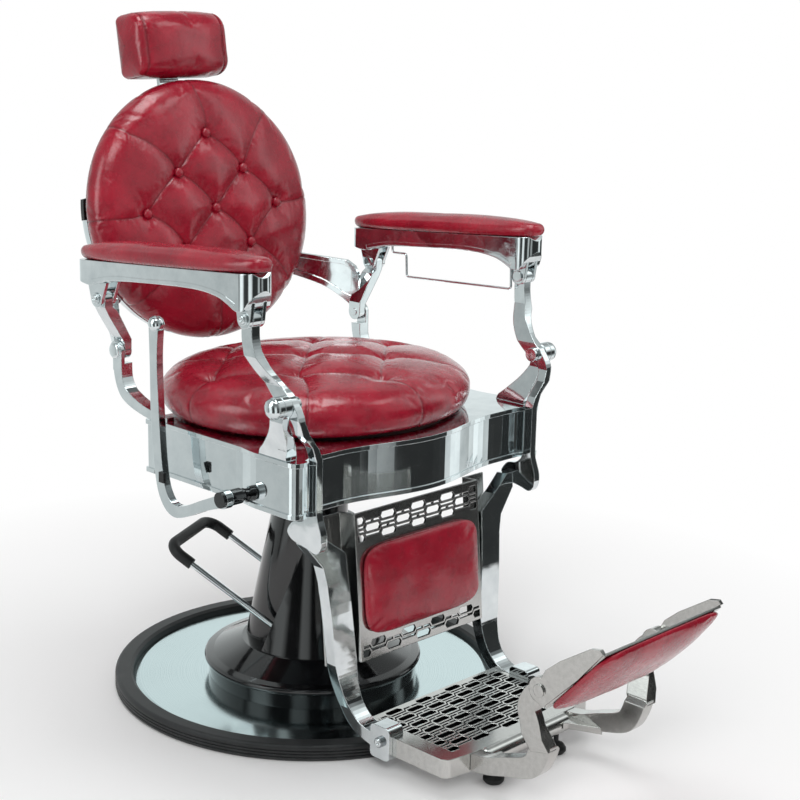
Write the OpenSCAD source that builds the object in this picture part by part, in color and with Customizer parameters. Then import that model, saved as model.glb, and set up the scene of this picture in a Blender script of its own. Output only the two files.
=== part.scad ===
// Hydraulic barber chair. Origin: centre of the base on the floor, +Z up.
// The sitter faces -Y, so the sitter's right hand is on -X.

/* [Base] */
// Radius of the rubber ring on the floor
base_r = 330; // [300:5:360]
// Height of the rubber ring
ring_h = 26; // [22:1:34]
// Radial width of the rubber ring
ring_w = 30; // [22:1:45]
// Height of the polished disc above the floor
disc_h = 15; // [12:1:20]
// Thickness of the polished disc
disc_t = 6; // [4:0.5:8]
// Radius of the round cover that stands on the disc
flange_r = 182; // [160:2:210]
// Height of the rim of the round cover
flange_h = 36; // [28:1:46]
// Rise of the cover from its rim to the column
flange_rise = 24; // [16:1:32]
// Sheet thickness of the covers
cover_t = 5; // [3:0.5:7]
// Radius of the tower cover round the cylinder
tower_r = 66; // [62:1:72]
// Lean of the tower cover towards the pump lever, in degrees
tower_lean = 9; // [6:0.5:10]
// Radius of the skirt cover at its foot
skirt_r = 115; // [108:1:126]
// Radius of the skirt cover at its top
skirt_top_r = 72; // [70:1:76]
// Height of the skirt cover
skirt_h = 205; // [170:5:230]

/* [Pump and lift] */
// Height of the underside of the seat frame, seat lowered
seat_low = 392; // [380:2:420]
// Radius of the lifting ram
ram_r = 32; // [26:1:36]
// Outer radius of the hydraulic cylinder
cyl_r = 48; // [45:1:51]
// Bore radius of the hydraulic cylinder
cyl_bore = 40; // [38:0.5:42]
// Turn of the pump lever away from straight back, in degrees
lever_turn = 27; // [15:1:35]
// Rise of the pump lever rods, in degrees
lever_rise = 31.5; // [26:0.5:35]
// Half spacing of the pump lever rods
lever_half = 80; // [78:0.5:86]
// Length of the pump lever from its pivot to the cross bar
lever_len = 242; // [220:4:320]
// Diameter of the pump lever rod
lever_d = 10; // [8:0.5:12]
// Height of the pump lever pivot
lever_pivot_h = 100; // [92:1:110]
// Distance of the pump lever pivot behind the column axis
lever_pivot_back = 20; // [14:1:26]
// Diameter of the rubber sleeve on the pump lever
grip_d = 19; // [15:0.5:24]
// Length of the sleeve's legs along the rods
grip_leg = 48; // [36:2:70]

/* [Seat] */
// Half width of the seat frame over its sides
frame_half = 272; // [266:1:280]
// Height of the seat frame
frame_h = 84; // [74:1:96]
// Wall of the seat frame
frame_wall = 9; // [7:0.5:12]
// Where the straight side ends at the front
frame_front = 226; // [222:1:230]
// How far the front apron bows out in the middle
apron_bow = 30; // [20:1:36]
// Where the frame ends at the back
frame_back = 96; // [88:1:104]
// Half width of the seat cushion
seat_rx = 258; // [248:1:262]
// Half depth of the seat cushion
seat_ry = 238; // [230:1:240]
// Thickness of the seat cushion at its edge
seat_t = 67; // [54:1:68]
// Extra height of the seat cushion at its middle
seat_crown = 11; // [6:1:16]
// Thickness of the board under the seat cushion
board_t = 8; // [6:1:12]

/* [Back] */
// Half width of the back cushion
back_rx = 228; // [216:1:232]
// Half height of the back cushion
back_ry = 218; // [212:1:224]
// Thickness of the back cushion at its edge
back_t = 62; // [54:1:66]
// Extra thickness of the back cushion at its middle
back_crown = 18; // [10:1:24]
// Lean of the back, in degrees
back_tilt = 10; // [8:0.5:12]
// Depth of the metal shell behind the back cushion
shell_d = 24; // [18:1:30]
// Thickness of the board inside the back
back_board_t = 8; // [6:1:10]
// Distance of the back cushion's middle behind the hinge
back_behind = 120; // [117:1:124]
// Height of the back cushion's middle above the hinge
back_above = 190; // [188:1:198]

/* [Headrest] */
// Width of the headrest
head_w = 196; // [160:4:240]
// Height of the headrest
head_h = 112; // [90:2:130]
// Thickness of the headrest
head_t = 80; // [64:2:90]
// Gap between the headrest and the top of the back
head_gap = 6; // [4:1:30]
// Width of the headrest post
post_w = 40; // [30:1:50]
// Thickness of the headrest post
post_t = 8; // [6:0.5:10]

/* [Arms] */
// Half spacing of the armrests
arm_half = 294; // [291:1:299]
// Height of the back hinge above the seat frame
hinge_up = 96; // [92:1:100]
// Distance of the back hinge behind the column axis
hinge_back = 170; // [166:1:174]
// Half spacing of the back hinge knuckles
hinge_half = 262; // [258:1:268]
// Height of the armrest's rear pin above the back hinge
arm_rear_up = 88; // [85:1:91]
// How far the armrest's rear pin lies in front of the back hinge
arm_rear_fwd = 4; // [1:1:7]
// Height of the front rocker pivot above the seat frame
rocker_up = 84; // [80:1:88]
// Distance of the front rocker pivot in front of the column axis
rocker_fwd = 238; // [236:1:240]
// Height of the armrest's front pin above the rocker pivot
arm_front_up = 120; // [117:1:123]
// How far the armrest's front pin lies behind the rocker pivot
arm_front_back = 54; // [51:1:57]
// Width of the armrest casting
arm_w = 52; // [48:1:58]
// Width of the armrest pad
pad_w = 66; // [62:1:76]
// Thickness of the armrest pad
pad_t = 30; // [24:1:36]
// Thickness of each clevis ear
ear_t = 6; // [5:0.5:7]
// Width of the clevis slot
slot_w = 16; // [15:0.5:17]
// Diameter of the hinge pins
pin_d = 12; // [10:0.5:14]
// Diameter of the towel wire
wire_d = 4; // [3:0.5:5]

/* [Leg rest] */
// Thickness of the rocker bars
bar_t = 12; // [10:0.5:13]
// Half spacing of the rocker bars where they pass the apron
bar_half = 237; // [235:0.5:239]
// Height of the footplate's top above the floor, seat lowered
foot_h = 60; // [56:1:80]
// Thickness of the footplate
foot_t = 29; // [24:1:32]
// Half width of the footplate
foot_half = 165; // [160:1:172]
// Front edge of the footplate, in front of the column axis
foot_front = 468; // [460:1:490]
// Half width of the leg panel's front
panel_half = 137; // [134:1:139]
// Height of the leg panel
panel_h = 231; // [215:1:240]
// Height of the calf pad on the leg panel
calf_h = 142; // [125:1:152]
// Thickness of the calf pad
calf_t = 12; // [8:1:18]
// Length of a mesh opening
slot_l = 32; // [29:1:35]
// Height of a mesh opening
slot_h = 11; // [9:0.5:12]
// Metal between the mesh openings
web = 3; // [2.5:0.25:4]
// Width of the stepped slot between two rows of openings
step_w = 3.5; // [3:0.25:4.5]
// Half spacing of the footrest arms' pivots
flip_half = 132; // [129:1:136]
// Distance of the flip footrest's pivot in front of the column axis
flip_fwd = 605; // [598:1:612]
// Height of the flip footrest's pivot above the footplate
flip_up = 149; // [144:1:156]
// Thickness of the footrest arms
flip_arm_t = 13; // [11:0.5:15]
// Length of the flip footrest
flip_len = 118; // [108:1:126]
// Height of the rubber feet under the footplate
foot_gap = 1.5; // [0.5:0.5:4]

/* [Recline lever] */
// Diameter of the recline lever's round top
knob_d = 25; // [20:1:30]
// Height of the lever's round top above the seat frame
knob_up = 165; // [150:1:180]
// Thickness of the lever bar
handle_t = 12; // [10:0.5:14]

/* [Fits] */
// Clearance between pieces that move past each other
gap = 0.5; // [0.3:0.1:0.8]
// Radial clearance of pins in their bores
fit = 0.05; // [0.02:0.01:0.08]

/* [Hidden] */
$fn = 48;

plate_bottom = 2;
disc_r = base_r - ring_w;
cover_top = disc_h + flange_h + flange_rise;
tower_top = seat_low - 6;
frame_top = seat_low + frame_h;
frame_edge = 7;
swivel_h = 12;
rod_r = lever_d / 2;
sleeve_r = grip_d / 2;
bend_r = 26;
boss_r = 11;
boss_w = 12;
stub_r = 6;
seat_y = -5;
board_top = frame_top + 3;
hinge_z = frame_top + hinge_up;
arm_rear = [-arm_rear_fwd + hinge_back, hinge_z + arm_rear_up];
rocker_z = frame_top + rocker_up;
arm_front = [arm_front_back - rocker_fwd, rocker_z + arm_front_up];
pin_r = pin_d / 2;
knuckle_r = 15;
tongue_r = 14;
back_y = hinge_back + back_behind;
back_z = hinge_z + back_above;
back_rear = -back_t / 2;
shell_r = back_ry - 4;
panel_z = seat_low - 20 - panel_h;
foot_y0 = -280;
black = [0.05, 0.05, 0.055];
chrome = [0.80, 0.84, 0.86];
satin = [0.66, 0.65, 0.62];
leather = [0.55, 0.10, 0.16];
steel = [0.55, 0.57, 0.6];
rubber = [0.12, 0.12, 0.12];

// Smooth curve through control points; extra columns, such as a width, follow along
function blend4(a, b, c, d, t) = 0.5 * (2 * b + (c - a) * t + (2 * a - 5 * b + 4 * c - d) * t * t
  + (3 * b - a - 3 * c + d) * t * t * t);
function curve(p, n = 5) = concat(
  [for (i = [0:len(p) - 2]) for (k = [0:n - 1])
    blend4(p[max(i - 1, 0)], p[i], p[i + 1], p[min(i + 2, len(p) - 1)], k / n)],
  [p[len(p) - 1]]);
function unit2(v) = v / norm(v);
function heading(q, i) = let (a = q[max(i - 1, 0)], b = q[min(i + 1, len(q) - 1)])
  unit2([b[0] - a[0], b[1] - a[1]]);
function beside(q, i, s) = let (h = heading(q, i))
  [q[i][0] - s * h[1] * q[i][2] / 2, q[i][1] + s * h[0] * q[i][2] / 2];
function mirrored(p) = concat(p, [for (i = [len(p) - 1:-1:0]) [-p[i][0], p[i][1]]]);

// Flat strip along control points [x, y, width]
module strip(p, n = 5) {
  q = curve(p, n);
  polygon(concat([for (i = [0:len(q) - 1]) beside(q, i, 1)],
    [for (i = [len(q) - 1:-1:0]) beside(q, i, -1)]));
}
// Extrudes a side view, drawn as [y, z], from x0 towards +X
module side_view(x0, w) {
  translate([x0, 0, 0]) rotate([90, 0, 90]) linear_extrude(w) children();
}
// Extrudes a front view, drawn as [x, z], from y0 towards +Y
module front_view(y0, w) {
  translate([0, y0 + w, 0]) rotate([90, 0, 0]) linear_extrude(w) children();
}
module both_sides() {
  children();
  mirror([1, 0, 0]) children();
}
// Cylinder along X, from x0 towards +X, at [y, z]
module xcyl(at, x0, len, r) {
  translate([x0, at[0], at[1]]) rotate([0, 90, 0]) cylinder(r = r, h = len);
}
// Round-ended plate outline between two circles of one radius
module slab2(a, b, r) {
  d = b - a;
  translate(a) circle(r);
  translate(b) circle(r);
  translate(a) rotate(atan2(d[1], d[0])) translate([0, -0.97 * r]) square([norm(d), 1.94 * r]);
}
module round_rect(w, h, r) {
  square([w - 2 * r, h], center = true);
  square([w, h - 2 * r], center = true);
  for (x = [-1, 1], y = [-1, 1]) translate([x * (w / 2 - r), y * (h / 2 - r)]) circle(r);
}
// Places a drawing in the pump lever's own plane: x across, y towards the lever
module lever_frame() {
  rotate([0, 0, lever_turn]) children();
}
// Places a drawing on the back: x across, y up the back, z towards the sitter
module back_frame() {
  translate([0, back_y, back_z]) rotate([90 - back_tilt, 0, 0]) children();
}

// ---- Soft forms -------------------------------------------------------------

// Five rows of sewn points in a diamond: 1, 2, 3, 2, 1 without the outer middles
function diamond(w, h) = [[0, 2 * h], [-w, h], [w, h], [-2 * w, 0], [0, 0], [2 * w, 0],
  [-w, -h], [w, -h], [0, -2 * h]];
function fold_lines(p) = [for (i = [0:len(p) - 1]) for (j = [i + 1:1:len(p) - 1])
  if (norm(p[i] - p[j]) < 1.01 * norm(p[1] - p[0])) [p[i], p[j]]];
function to_line(q, s) = let (d = s[1] - s[0], t = max(0, min(1, (q - s[0]) * d / (d * d))))
  norm(q - s[0] - t * d);
function sunk(q, points, lines, deep, spread) = len(points) == 0 ? 0
  : deep * max([for (p = points) exp(-pow(norm(q - p) / spread, 2))])
    + 0.3 * deep * max([for (s = lines) exp(-pow(to_line(q, s) / (0.4 * spread), 2))]);
function keep_sign(v, p) = sign(v) * pow(abs(v), p);
function rim(rx, ry, round, t) = [rx * keep_sign(cos(t), 2 / round), ry * keep_sign(sin(t), 2 / round)];

// Closed cushion: side rings [inset, z] from the bottom up, then a crowned top.
// round = 2 gives an ellipse, larger values a squarer outline.
module cushion(rx, ry, side, crown, round = 2, turns = 48, tops = [0.86, 0.72, 0.58, 0.44, 0.3, 0.15],
    points = [], deep = 0, spread = 30) {
  lines = len(points) > 0 ? fold_lines(points) : [];
  last = side[len(side) - 1];
  rings = concat(
    [for (s = side) [for (k = [0:turns - 1]) let (q = rim(rx - s[0], ry - s[0], round, 360 * k / turns))
      [q[0], q[1], s[1]]]],
    [for (f = tops) [for (k = [0:turns - 1])
      let (q = f * rim(rx - last[0], ry - last[0], round, 360 * k / turns))
      [q[0], q[1], last[1] + crown * (1 - f * f * f) - sunk(q, points, lines, deep, spread)]]]);
  count = len(rings);
  low = [0, 0, side[0][1]];
  high = [0, 0, last[1] + crown - sunk([0, 0], points, lines, deep, spread)];
  verts = concat([for (r = rings) each r], [low, high]);
  polyhedron(verts, concat(
    [for (i = [0:count - 2]) for (k = [0:turns - 1]) let (a = i * turns + k, b = i * turns + (k + 1) % turns)
      each [[a, a + turns, b], [b, a + turns, b + turns]]],
    [for (k = [0:turns - 1]) [k, (k + 1) % turns, count * turns]],
    [for (k = [0:turns - 1]) let (a = (count - 1) * turns) [a + (k + 1) % turns, a + k, count * turns + 1]]));
}
// Side rings of a cushion with drawn-in, rounded edges
function puffed(z0, t, inset, steps = 6) = [for (k = [0:steps]) let (a = -90 + 180 * k / steps)
  [inset * (1 - cos(a)), z0 + t * (1 + sin(a)) / 2]];

// ---- Base and pump ----------------------------------------------------------

module base_ring() {
  grooves = [7, 12, 17];
  color(rubber) rotate_extrude($fn = 96) polygon(concat(
    [[disc_r - 14, 0], [base_r - 4, 0], [base_r, 4]],
    [for (z = grooves) each [[base_r, z - 1.4], [base_r - 2, z], [base_r, z + 1.4]]],
    [for (a = [0:15:90]) [base_r - 6 + 6 * cos(a), ring_h - 6 + 6 * sin(a)]],
    [[disc_r + 5, ring_h], [disc_r + gap, ring_h - 4], [disc_r + gap, plate_bottom],
        [disc_r - 14, plate_bottom]]));
}
module base_plate() {
  color(steel) {
    cylinder(r = disc_r - 14 - gap, h = plate_bottom + 1, $fn = 96);
    translate([0, 0, plate_bottom]) cylinder(r = disc_r, h = disc_h - disc_t - plate_bottom, $fn = 96);
  }
}
module base_disc() {
  color(chrome) rotate_extrude($fn = 96)
    polygon([[0, disc_h - disc_t], [disc_r, disc_h - disc_t], [disc_r, disc_h - 2.5], [disc_r - 9, disc_h],
        [0, disc_h]]);
}
module round_cover() {
  top_r = skirt_r + 4;
  rim_z = disc_h + flange_h;
  color(black) difference() {
    rotate_extrude($fn = 96) polygon(concat(
      [[flange_r - 8 - cover_t, disc_h], [flange_r - 8, disc_h], [flange_r - 6, rim_z - 12]],
      [for (a = [-60:20:80]) [flange_r - 6 + 6 * cos(a), rim_z - 6 + 6 * sin(a)]],
      [[flange_r - 16, rim_z + 2.5], [top_r, cover_top], [0, cover_top], [0, cover_top - cover_t],
        [top_r - 1, cover_top - cover_t], [flange_r - 8 - cover_t, rim_z - 4]]));
    cylinder(r = cyl_r + gap, h = cover_top + 1);
    lever_frame() translate([-pump_w / 2 - gap, 0, 0]) cube([pump_w + 2 * gap, pump_y1 + gap, cover_top + 1]);
  }
}
pump_w = 52;
pump_y0 = cyl_r + 2;
pump_y1 = pump_y0 + 34;
pump_top = 142;
plunger_r = 8;
plunger_y = pump_y0 + 18;
core_r = cyl_r + 8;
module tower_cone(inset) {
  lever_frame() translate([0, 0, tower_top]) rotate([tower_lean, 0, 0])
    translate([0, 0, -tower_top - 30])
      cylinder(r1 = tower_r + 4 - inset, r2 = tower_r - 16 - inset, h = tower_top + 50);
}
module tower_solid(inset, over) {
  intersection() {
    tower_cone(inset);
    translate([0, 0, cover_top - over]) cylinder(r = 200, h = tower_top - cover_top + 2 * over);
  }
  translate([0, 0, cover_top - over]) cylinder(r = core_r - inset, h = tower_top - cover_top + 2 * over);
}
module tower_cover() {
  color(black) difference() {
    tower_solid(0, 0);
    tower_solid(cover_t, 1);
    lever_frame() for (s = [0, 1]) mirror([s, 0, 0])
      xcyl([lever_pivot_back, lever_pivot_h], cyl_r, 40, stub_r + fit);
  }
}
// Skirt: the front part of a cone, cut by a plane that leans forward
module skirt_cone(inset) {
  translate([0, 0, cover_top]) cylinder(r1 = skirt_r - inset, r2 = skirt_top_r - inset, h = skirt_h,
      $fn = 96);
}
module skirt_cover() {
  cut_y = 52;
  color(black) difference() {
    skirt_cone(0);
    translate([0, 0, -0.01]) skirt_cone(cover_t);
    translate([0, 0, -0.02]) cylinder(r = 1, h = cover_top);
    lever_frame() translate([-200, cut_y, cover_top]) rotate([20, 0, 0]) translate([0, 0, -150])
        cube([400, 300, 500]);
    tower_solid(-gap, 0);
  }
}
module cylinder_tube() {
  color(steel) translate([0, 0, disc_h]) difference() {
    cylinder(r = cyl_r, h = tower_top - 24 - disc_h);
    translate([0, 0, 8]) cylinder(r = cyl_bore, h = tower_top);
  }
}
module cylinder_head() {
  color(steel) translate([0, 0, tower_top - 24]) difference() {
    cylinder(r = cyl_r, h = 20);
    translate([0, 0, -1]) cylinder(r = ram_r + fit, h = 30);
  }
}
module pump_block() {
  color(steel) lever_frame() difference() {
    translate([-pump_w / 2, pump_y0, disc_h]) cube([pump_w, pump_y1 - pump_y0, pump_top - disc_h]);
    translate([0, plunger_y, 40]) cylinder(r = plunger_r + fit, h = pump_top);
  }
}
module pump_plunger() {
  color(chrome) lever_frame() translate([0, plunger_y, 0]) {
    translate([0, 0, 60]) cylinder(r = plunger_r, h = pump_top - 60 + 22);
    translate([0, 0, pump_top + 22]) cylinder(r = plunger_r + 5, h = 6);
  }
}
module lever_stubs() {
  color(steel) lever_frame() for (s = [0, 1]) mirror([s, 0, 0]) {
    xcyl([lever_pivot_back, lever_pivot_h], cyl_r + gap, lever_half + 7 - cyl_r, stub_r);
    xcyl([lever_pivot_back, lever_pivot_h], lever_half + boss_w / 2 + gap, 3, stub_r + 3);
  }
}
// Plane of the pump lever: x across, y out along the rods
module lever_plane() {
  lever_frame() translate([0, lever_pivot_back, lever_pivot_h]) rotate([lever_rise, 0, 0]) children();
}
module lever_bow(r, leg) {
  bend_x = lever_half - bend_r;
  bend_y = lever_len - bend_r;
  for (s = [0, 1]) mirror([s, 0, 0]) {
    translate([lever_half, bend_y, 0]) rotate([90, 0, 0]) cylinder(r = r, h = leg, $fn = 32);
    translate([bend_x, bend_y, 0]) rotate_extrude(angle = 90, $fn = 48) translate([bend_r, 0])
        circle(r, $fn = 32);
  }
  translate([-bend_x, lever_len, 0]) rotate([0, 90, 0]) cylinder(r = r, h = 2 * bend_x, $fn = 32);
}
module pump_lever() {
  color(chrome) difference() {
    lever_plane() {
      lever_bow(rod_r, lever_len - bend_r);
      for (s = [-1, 1]) translate([s * lever_half - boss_w / 2, 0, 0]) rotate([0, 90, 0])
          cylinder(r = boss_r, h = boss_w);
    }
    lever_plane() translate([-lever_half - 20, 0, 0]) rotate([0, 90, 0])
      cylinder(r = stub_r + fit, h = 2 * lever_half + 40);
  }
}
module lever_sleeve() {
  color(rubber) lever_plane() difference() {
    lever_bow(sleeve_r, grip_leg - bend_r);
    lever_bow(rod_r + fit, grip_leg);
  }
}
module ram() {
  color(chrome) {
    translate([0, 0, 84]) cylinder(r = ram_r, h = bed_z - 84);
    translate([0, 0, bed_z]) cylinder(r = ram_r - 10, h = swivel_h + 6);
  }
}
module ram_piston() {
  color(steel) translate([0, 0, 62]) cylinder(r = cyl_bore - fit, h = 22);
}

// ---- Seat -------------------------------------------------------------------

bed_z = seat_low + 5;
corner_r = 16;
bow_half = 175;
step_in = 6;
bead = 2.5;
function bow_at(x) = abs(x) > bow_half ? 0 : apron_bow * (1 + cos(180 * x / bow_half)) / 2;
apron_y = -(frame_front + 12);
// Plan outline of the frame, drawn in by g
function frame_half_line(g) = concat(
  [for (k = [1:12]) let (x = bow_half * k / 12) [x, apron_y - bow_at(x) + g]],
  [[frame_half - 2 * corner_r - 8, apron_y + g], [frame_half - 2 * corner_r + 3, apron_y - 5 + g]],
  [for (a = [-135:22.5:0]) [frame_half - corner_r + (corner_r - g)
      * cos(a), -frame_front - 12 + (corner_r - g) * sin(a)]],
  [[frame_half - g, -166], [frame_half - 1.5 - g, -152], [frame_half - step_in + 0.5 - g, -130],
      [frame_half - step_in - g, -114],
    [frame_half - step_in - g, frame_back - 26], [frame_half - g, frame_back - 23],
    [frame_half - g, frame_back - 3 - g], [frame_half - 3 - g, frame_back - g]]);
function frame_line(g) = let (h = frame_half_line(g)) concat([[0, apron_y - apron_bow + g]], h,
  [for (i = [len(h) - 1:-1:0]) [-h[i][0], h[i][1]]]);
hole_r = 196;
module seat_frame() {
  color(chrome) translate([0, 0, seat_low]) difference() {
    union() {
      linear_extrude(frame_h) polygon(frame_line(bead));
      for (z = [0, frame_h - frame_edge]) translate([0, 0, z]) linear_extrude(frame_edge)
          polygon(frame_line(0));
    }
    translate([0, 0, -1]) linear_extrude(frame_h - 5) polygon(frame_line(frame_wall));
    translate([0, seat_y, 0]) cylinder(r = hole_r, h = frame_h + 1, $fn = 96);
    // seat of the recline lever's hub in the sitter's right side wall
    mirror([1, 0, 0]) translate([0, 0, -seat_low]) xcyl(hub_at, frame_half - 30, 60, hub_r + gap);
  }
}
module swivel_plate() {
  reach = frame_half - step_in - frame_wall - gap;
  color(steel) difference() {
    union() {
      translate([-reach, -70, bed_z]) cube([2 * reach, 140, swivel_h]);
      translate([0, 0, bed_z]) cylinder(r = 78, h = swivel_h);
      for (y = [-60, 50]) translate([-150, y, bed_z + swivel_h])
          cube([300, 10, frame_h - swivel_h - 10 + seat_low - bed_z]);
    }
    translate([0, 0, bed_z - 1]) cylinder(r = ram_r - 10 + fit, h = swivel_h + 2);
  }
}
board_lip = 3;
module seat_board() {
  color([0.1, 0.07, 0.06]) {
    translate([0, seat_y, frame_top]) cylinder(r = hole_r + 22, h = board_lip, $fn = 96);
    translate([0, seat_y, frame_top + board_lip - board_t]) cylinder(r = hole_r - gap, h = board_t, $fn = 96);
  }
}
// Full towards the bottom, drawn in to the seam under the seat
seat_side = [for (k = [[15, 0], [4, 0.09], [0, 0.28], [0.5, 0.5], [6, 0.72], [16, 0.88], [32, 1]])
    [k[0], k[1] * seat_t]];
module seat_cushion() {
  color(leather) translate([0, seat_y, board_top + 0.3])
    cushion(seat_rx, seat_ry, seat_side, seat_crown, tops = [0.94, 0.86, 0.77, 0.67, 0.56, 0.45, 0.34,
        0.22, 0.11],
      points = [for (p = diamond(97, 88)) p + [0, 25 - seat_y]], deep = 16, spread = 24);
}
// Gas lock under the seat that holds the recline
module recline_lock() {
  color(steel) {
    translate([-190, 0, bed_z + swivel_h + 14]) rotate([0, 90, 0]) cylinder(r = 13, h = 120);
    translate([-200, -8, bed_z + swivel_h]) cube([10, 16, 28]);
    translate([-70, -8, bed_z + swivel_h]) cube([10, 16, 28]);
  }
}
upright_in = hinge_half - 12;
upright_out = hinge_half + 9;
ear_in = hinge_half + 2 + gap;
module rear_upright() {
  foot_z = frame_top + 8;
  color(chrome) difference() {
    union() {
      side_view(ear_in, upright_out - ear_in) {
        translate([hinge_back, hinge_z]) circle(knuckle_r);
        translate([hinge_back - knuckle_r, hinge_z - 32]) square([2 * knuckle_r - 8, 32]);
      }
      side_view(upright_in, upright_out - upright_in) intersection() {
        strip([[hinge_back - 4, hinge_z - 20, 22], [hinge_back - 7, hinge_z - 44, 19],
            [hinge_back - 18, hinge_z - 64, 19],
          [hinge_back - 38, hinge_z - 75, 18], [hinge_back - 64, foot_z + 5, 16],
              [frame_back - 16, foot_z, 15]]);
        translate([0, frame_top]) square([400, 400]);
      }
      translate([upright_in, frame_back - 46, frame_top]) cube([frame_half - 8 - upright_in, 44, 8]);
    }
    xcyl([hinge_back, hinge_z], upright_in - 5, 60, pin_r + fit);
  }
}
module rear_upright_left() { rear_upright(); }
module rear_upright_right() { mirror([1, 0, 0]) rear_upright(); }
// Domed cap with its flat face at x0, towards +X
module dome_cap(at, x0, r, h) {
  translate([x0, at[0], at[1]]) rotate([0, 90, 0]) rotate_extrude($fn = 48)
    polygon(concat([[0, 0], [r, 0], [r, h * 0.45]], [for (a = [15:15:90])
        [r * cos(a), h * 0.45 + h * 0.55 * sin(a)]]));
}
module hinge_pins() {
  color(chrome) both_sides() {
    xcyl([hinge_back, hinge_z], hinge_half - 13, 25, pin_r);
    dome_cap([hinge_back, hinge_z], upright_out, 12, 6);
  }
}
rocker_at = [-rocker_fwd, rocker_z];
rocker_in = frame_half - 8;
bracket_in = rocker_in + bar_t + gap;
bracket_out = frame_half + 18;
module rocker_bracket() {
  t = frame_top;
  color(chrome) difference() {
    intersection() {
      side_view(frame_half - 24, 60) {
        translate(rocker_at) circle(16);
        polygon(concat(
          [[-rocker_fwd + 66, t], [-rocker_fwd + 62, t + 9]],
          curve([[-rocker_fwd + 50, t + 20], [-rocker_fwd + 30, t + 42], [-rocker_fwd + 18, t + 64],
              [-rocker_fwd + 15.5, rocker_z]], 4),
          [[-rocker_fwd - 15.5, rocker_z], [-rocker_fwd - 14, rocker_z - 7],
              [-rocker_fwd - 8, rocker_z - 16], [-rocker_fwd - 4, t + 40],
            [-rocker_fwd, t + 20], [-rocker_fwd + 6, t + 6], [-rocker_fwd + 6, t]]));
      }
      front_view(-rocker_fwd - 40, 130) polygon([[frame_half - 22, t], [frame_half - 2, t],
          [frame_half + 1, t + 16],
        [bracket_out, rocker_z - 22], [bracket_out, rocker_z + 20], [bracket_in, rocker_z + 20],
        [bracket_in, rocker_z - 24], [frame_half - 12, t + 28], [frame_half - 22, t + 6]]);
    }
    xcyl(rocker_at, rocker_in - 10, 80, pin_r + fit);
  }
}
module rocker_bracket_left() { rocker_bracket(); }
module rocker_bracket_right() { mirror([1, 0, 0]) rocker_bracket(); }
module rocker_pins() {
  color(chrome) both_sides() {
    xcyl(rocker_at, rocker_in - 4, bracket_out - rocker_in + 4, pin_r);
    dome_cap(rocker_at, bracket_out, 16, 20);
    xcyl(rocker_at, rocker_in - 8, 7.5, 11);
  }
}
// Recline lever on the sitter's right: upright bar, bend, and a square end in the hub
hub_at = [-132, seat_low + 12];
hub_r = 9;
lever_x = frame_half + 22;
knob_z = frame_top + knob_up;
module recline_lever() {
  color(chrome) mirror([1, 0, 0]) {
    difference() {
      side_view(lever_x, handle_t) {
        strip([[26, knob_z - 8, 22], [27, knob_z - 60, 17], [24, frame_top + 12, 20], [16, seat_low + 18, 19],
          [4, seat_low - 16, 20], [-16, seat_low - 31, 20], [-44, seat_low - 27, 17],
              [-92, seat_low - 6, 17], [hub_at[0], hub_at[1] - 2, 20]]);
        translate(hub_at) circle(14);
      }
      xcyl(hub_at, lever_x - 1, handle_t + 2, hub_r + fit);
    }
    translate([lever_x + handle_t / 2, 26, knob_z]) sphere(r = knob_d / 2, $fn = 40);
  }
}
module lever_hub() {
  color(black) mirror([1, 0, 0]) {
    xcyl(hub_at, frame_half - 40, lever_x + handle_t + 1 - frame_half + 40, hub_r);
    xcyl(hub_at, lever_x + handle_t + gap, 4, hub_r + 3);
    xcyl(hub_at, frame_half + gap, lever_x - frame_half - 2 * gap, hub_r + 3);
  }
}
module lever_tip() {
  color(black) mirror([1, 0, 0]) translate([lever_x + handle_t, 0, seat_low + 8]) cube([4, 12, 16]);
}

// ---- Back -------------------------------------------------------------------

button_w = 69.5;
button_h = 63;
back_pull = 15;
back_points = [for (p = diamond(button_w, button_h)) p];
board_z = back_rear - 0.3 - back_board_t;
button_r = 8.5;
function button_z(p) = back_rear + back_t + back_crown * (1 - pow(norm([p[0] / back_rx, p[1] / back_ry]),
    2)) - back_pull * 1.3;
module back_cushion() {
  color(leather) back_frame() difference() {
    translate([0, 0, back_rear]) cushion(back_rx, back_ry, puffed(0, back_t, 32), back_crown,
      tops = [0.94, 0.86, 0.77, 0.67, 0.56, 0.45, 0.34, 0.22, 0.11],
          points = back_points, deep = back_pull, spread = 20);
    for (p = back_points) translate([p[0], p[1], button_z(p)]) cylinder(r = button_r + fit, h = 60, $fn = 24);
  }
}
module back_board() {
  color([0.1, 0.07, 0.06]) back_frame() translate([0, 0, board_z])
      cylinder(r = shell_r - 6, h = back_board_t, $fn = 96);
}
module back_shell() {
  rear = board_z - shell_d + back_board_t;
  wall = 3;
  color(chrome) back_frame() difference() {
    rotate([0, 0, 180]) rotate_extrude(angle = 180, $fn = 96) polygon(concat(
      [[0, rear], [shell_r - 16, rear]],
      [for (a = [-75:15:0]) [shell_r - 16 + 16 * cos(a), rear + 16 + 16 * sin(a)]],
      [[shell_r, back_rear - 0.5], [shell_r - 6 + gap, back_rear - 0.5],
          [shell_r - 6 + gap, board_z - 0.1], [0, board_z - 0.1]]));
    rotate([0, 0, 180]) translate([0, 0, rear + wall]) rotate_extrude(angle = 180, $fn = 96)
      square([shell_r - 18, board_z - rear]);
  }
}
module back_trim() {
  color(black) back_frame() translate([0, 0, board_z - 0.1 - 8]) linear_extrude(8) intersection() {
    circle(shell_r - 1, $fn = 96);
    polygon(mirrored([[shell_r, 0.3], [shell_r, 34], [shell_r - 60, 44], [60, 50], [30, 60]]));
  }
}
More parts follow.
